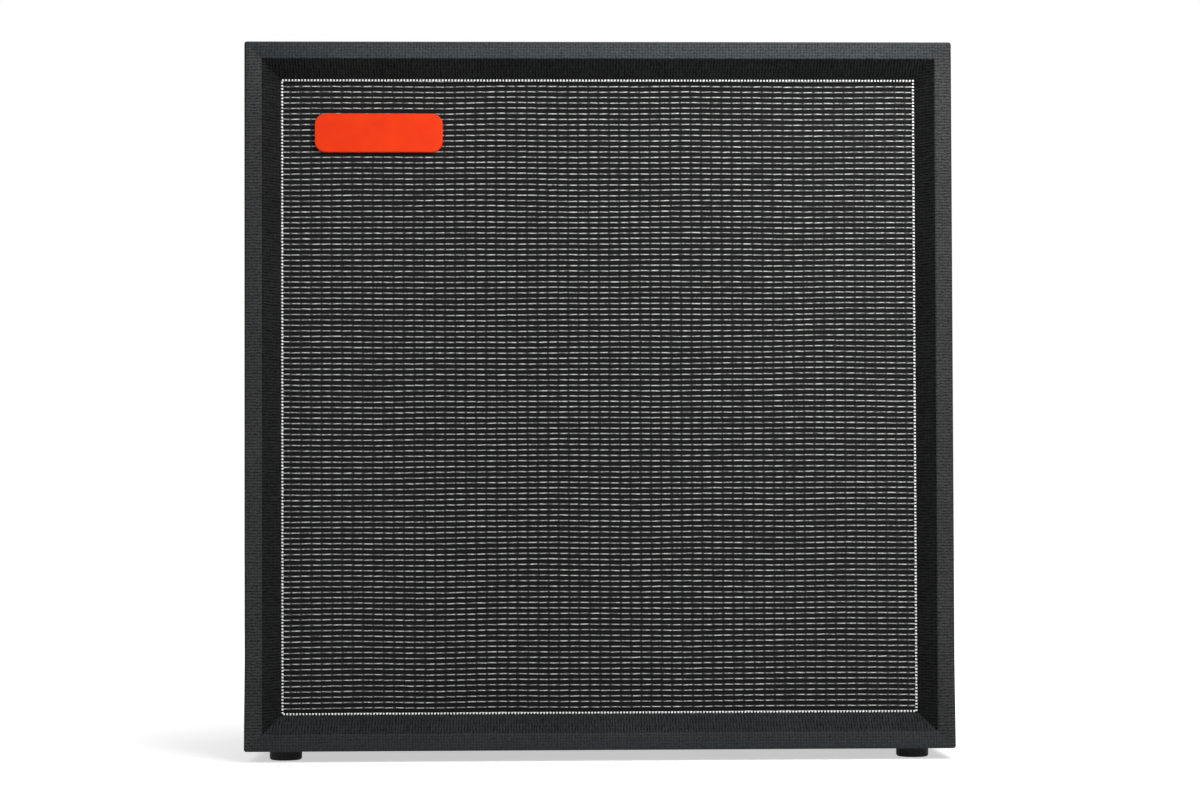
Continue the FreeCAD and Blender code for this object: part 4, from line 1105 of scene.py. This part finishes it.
    def stations(self) -> list[Station]:
        """Sets out the places round the shell.

        Returns:
            Places as (side, share along it, turn round the corner after it).
        """
        near_end = 1.0 - self.seam_half / self.reach
        inner = range(2 - self.side_steps, self.side_steps - 1)
        shares = {-1.0, -near_end, near_end, 1.0, *(step / self.side_steps for step in inner)}
        holes = {edge / self.reach for edge in self.hole_z}
        places = []
        for side in range(len(OUTWARD)):
            here = shares | holes if side in HANDLE_SIDES else shares
            marks = sorted(here, reverse=side in REVERSED_SIDES)
            places += [(side, share, 0.0) for share in marks]
            places += [(side, marks[-1], step / self.corner_steps) for step in range(1, self.corner_steps)]
        return places

    def place(self, station: Station, point: Pair) -> Vector:
        """Point of the covering.

        Args:
            station: Place round the shell.
            point: Inset from the outer face, and y.

        Returns:
            The point in the row frame.
        """
        side, share, turn = station
        inset, depth = point
        radius = max(self.corner - inset, 0.0)
        reach_x = self.half_width - max(inset, self.corner)
        reach_z = self.half_height - max(inset, self.corner)
        quarter = turn * math.pi / 2
        first = OUTWARD[side]
        second = OUTWARD[(side + 1) % len(OUTWARD)]
        across = (first[0] or share) * reach_x
        up = (first[1] or share) * reach_z
        across += radius * (first[0] * math.cos(quarter) + second[0] * math.sin(quarter))
        up += radius * (first[1] * math.cos(quarter) + second[1] * math.sin(quarter))
        if abs(share) == 1.0 and inset > self.corner and depth < self.low.y + self.seam_reach:
            depth += self.seam_depth
        low_corner = max(0.0, 1 - (up + self.half_height) / self.flare_reach)
        near_front = max(0.0, 1 - (depth - self.low.y) / (2 * self.flare_reach))
        if inset < self.corner and abs(across) > reach_x:
            across += math.copysign(self.flare * low_corner * near_front, across)
        return Vector((self.middle.x + across, depth, self.middle.z + up))

    def in_hole(self, here: Station, there: Station, start: Pair, end: Pair) -> bool:
        """Tells if a facet lies in the opening for a handle.

        Args:
            here: Place round the shell where the facet starts.
            there: Place round the shell where it ends.
            start: Point of the section where it starts.
            end: Point of the section where it ends.

        Returns:
            True for a facet that is left out.
        """
        if here[0] not in HANDLE_SIDES or there[0] != here[0] or start[0] != 0.0 or end[0] != 0.0:
            return False
        level = (here[1] + there[1]) / 2 * self.reach
        depth = (start[1] + end[1]) / 2
        return self.hole_z[0] < level < self.hole_z[1] and self.hole_y[0] < depth < self.hole_y[1]


@dataclass
class Suspension:
    """Soft parts of the drivers that bend as a cone travels: surround, spider and flexible leads.

    Attributes:
        surround_span: Start and end of the surround's bend behind the baffle, not used.
        spider_span: Start and end of the spider's bend behind the baffle, not used.
        lead_span: Start and end of the leads' bend behind the baffle, not used.
        margin: How far a driver's soft parts may lie past its basket.
        merge: Distance within which points are one.
    """

    surround_span: Pair = (4.0 * MM, 8.2 * MM)
    spider_span: Pair = (61.8 * MM, 66.4 * MM)
    lead_span: Pair = (63.0 * MM, 46.0 * MM)
    margin: float = 5.0 * MM
    merge: float = 0.005 * MM

    def build(self) -> list[Piece]:
        """Makes the soft parts of all four drivers.

        Returns:
            Three pieces for each driver.
        """
        pieces = []
        for place in DRIVERS:
            for part, node, finish, slot, span in (
                ("surround", f"surround_{place}", DOPED_CLOTH, "doped_cloth", self.surround_span),
                ("spider", f"spider_{place}", SPIDER_CLOTH, "spider_cloth", self.spider_span),
                ("tinsel_leads", "tinsel_leads", COPPER_BRAID, "copper_braid", self.lead_span),
            ):
                piece = self.copy(node, f"{part}_{place}_soft", place)
                piece.data.materials.append(finish.material())
                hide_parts(node)
                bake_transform(piece)
                pieces.append(piece)
        return pieces

    def copy(self, node: str, name: str, place: str) -> Piece:
        """Copies the part of a node that belongs to one driver, with its triangles joined up.

        Args:
            node: The node's name.
            name: The new piece's name.
            place: The driver's place.

        Returns:
            The copy, at the origin and with no finish.
        """
        low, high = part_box(f"basket_{place}")
        spans = [(axis, low[axis] - self.margin, high[axis] + self.margin) for axis in (0, 2)]
        part = bmesh.new()
        part.from_mesh(bpy.data.objects[node].data)
        bmesh.ops.remove_doubles(part, verts=part.verts, dist=self.merge)
        stray = [v for v in part.verts if any(not start <= v.co[axis] <= end for axis, start, end in spans)]
        bmesh.ops.delete(part, geom=stray, context="VERTS")
        for face in part.faces:
            face.smooth = True
        return keep(name, part)


def add_seen_rays(tree: Tree) -> Socket:
    """Adds a switch for the rays that the camera sees by, straight, mirrored or through glass.

    Args:
        tree: Tree that gets the nodes.

    Returns:
        1 for such a ray and 0 for any other.
    """
    path = add_node(tree, "ShaderNodeLightPath").outputs
    seen = path["Is Camera Ray"]
    for kind in ("Is Glossy Ray", "Is Transmission Ray"):
        seen = add_node(tree, MATH, (seen, path[kind]), operation="MAXIMUM").outputs["Value"]
    return seen


@dataclass(frozen=True)
class Softbox:
    """An area light aimed at the middle of the cabinet.

    Attributes:
        name: The light's name.
        place: Where it stands.
        size: Its width and height.
        power: Its power in watts.
    """

    name: str
    place: Triple
    size: Pair
    power: float

    def build(self) -> None:
        """Adds the light."""
        lamp = bpy.data.lights.new(self.name, "AREA")
        lamp.shape = "RECTANGLE"
        lamp.size, lamp.size_y = self.size
        lamp.energy = self.power
        light = bpy.data.objects.new(self.name, lamp)
        low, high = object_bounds()
        aim = (low + high) / 2 - Vector(self.place)
        light.location = self.place
        light.rotation_euler = aim.to_track_quat("-Z", "Y").to_euler()
        bpy.context.scene.collection.objects.link(light)


SOFTBOXES = (
    Softbox("overhead_softbox", (0.5, -1.05, 1.25), (1.0, 0.7), 20.3),
    Softbox("front_softbox", (1.0, -3.8, 1.9), (1.6, 1.6), 12.0),
    Softbox("rear_softbox", (-0.9, 2.4, 1.9), (1.6, 1.6), 24.0),
)


@dataclass
class Studio:
    """Pale floor, soft light and a camera where the photograph was taken from.

    Attributes:
        camera_place: The camera's place.
        tilt: How far the camera looks up, in degrees.
        pan: How far the camera is turned, in degrees.
        roll: How far the camera leans, in degrees.
        focal: Focal length in photograph pixels.
        photo_width: Width of the photograph in pixels.
        drop: How far the lens's axis lies below the photograph's middle, in pixels.
        sensor: Width of the camera's sensor in millimetres.
        floor_half: Half the width of the floor.
        floor_colour: Colour of the floor.
        glow: Strength of the floor's white, under the cabinet and away from it.
        glow_reach: Distances from the cabinet's middle at which the white starts and ends its rise.
        ambient: Strength of the light from all round.
    """

    camera_place: Triple = (-0.0738, -3.0, 0.2611)
    tilt: float = 1.24
    pan: float = -1.494
    roll: float = 0.186
    focal: float = 2637.2
    photo_width: float = 1200.0
    drop: float = 60.0
    sensor: float = 36.0
    floor_half: float = 12.0
    floor_colour: str = "ececec"
    glow: Pair = (0.55, 1.0)
    glow_reach: Pair = (0.3, 1.1)
    ambient: float = 0.22

    def build(self) -> None:
        """Makes the camera, the floor, the world and the lights."""
        scene = bpy.context.scene
        scene.view_settings.view_transform = "Standard"
        self.make_camera(scene)
        self.make_floor()
        self.make_world(scene)
        for softbox in SOFTBOXES:
            softbox.build()

    def make_camera(self, scene: bpy.types.Scene) -> None:
        """Adds the camera.

        Args:
            scene: Scene that looks through it.
        """
        lens = bpy.data.cameras.new("camera")
        lens.sensor_width = self.sensor
        lens.lens = self.focal / self.photo_width * self.sensor
        lens.shift_y = self.drop / self.photo_width
        camera = bpy.data.objects.new("camera", lens)
        swing = Matrix.Identity(4)
        for axis, degrees in (("Z", self.pan), ("X", self.tilt), ("Y", self.roll), ("X", 90.0)):
            swing = swing @ Matrix.Rotation(math.radians(degrees), 4, axis)
        camera.matrix_world = Matrix.Translation(self.camera_place) @ swing
        scene.collection.objects.link(camera)
        scene.camera = camera

    def make_floor(self) -> None:
        """Adds a large pale floor that shows white away from the cabinet and keeps its shadow."""
        half = self.floor_half
        mesh = bpy.data.meshes.new("floor")
        corners = [(-half, -half, 0.0), (half, -half, 0.0), (half, half, 0.0), (-half, half, 0.0)]
        mesh.from_pydata(corners, [], [(0, 1, 2, 3)])
        floor = new_object("floor", mesh)
        made = bpy.data.materials.new("pale_floor")
        tree = empty_tree(made)
        matt = add_node(tree, "ShaderNodeBsdfDiffuse", {"Color": linear(self.floor_colour)})
        place = add_node(tree, COORDINATES).outputs["Object"]
        away = add_node(tree, VECTOR_MATH, (place,), operation="LENGTH")
        fade = add_node(tree, RANGE, (away, *self.glow_reach, *self.glow), interpolation_type="SMOOTHSTEP")
        strength = add_node(tree, MATH, (add_seen_rays(tree), fade), operation="MULTIPLY")
        white = add_node(tree, "ShaderNodeEmission", {"Strength": strength})
        add_node(tree, SURFACE, (add_node(tree, "ShaderNodeAddShader", (matt, white)),))
        mesh.materials.append(made)
        floor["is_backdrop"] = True

    def make_world(self, scene: bpy.types.Scene) -> None:
        """Adds a white surround that lights the cabinet only softly.

        Args:
            scene: Scene that gets it.
        """
        scene.world = bpy.data.worlds.new("white_studio")
        tree = empty_tree(scene.world)
        strength = add_node(tree, RANGE, (add_seen_rays(tree), 0.0, 1.0, self.ambient, 1.0))
        back = add_node(tree, "ShaderNodeBackground", {"Color": (1.0, 1.0, 1.0, 1.0), "Strength": strength})
        add_node(tree, "ShaderNodeOutputWorld", (back,))


def dress_nodes(nodes: Mapping[str, Piece]) -> None:
    """Gives the modelled pieces their finishes and reports each.

    Args:
        nodes: Node name to its object.
    """
    for finish, names in NODE_FINISHES.items():
        for name in names:
            nodes[name].data.materials.clear()
            nodes[name].data.materials.append(finish.material())
            LOG.info("%s in %s", name, finish.name)


def main() -> None:
    """Builds the scene and reports each piece."""
    logging.basicConfig(level=logging.INFO, format="%(name)s: %(message)s")
    for stray in list(bpy.data.objects):
        bpy.data.objects.remove(stray)
    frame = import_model()
    dress_nodes(frame["nodes"])
    for part in (GrilleCloth(), Piping(), VinylShell(), Suspension()):
        for piece in part.build():
            LOG.info("%s, %d faces", piece.name, len(piece.data.polygons))
    Studio().build()


if __name__ == "__main__":
    main()
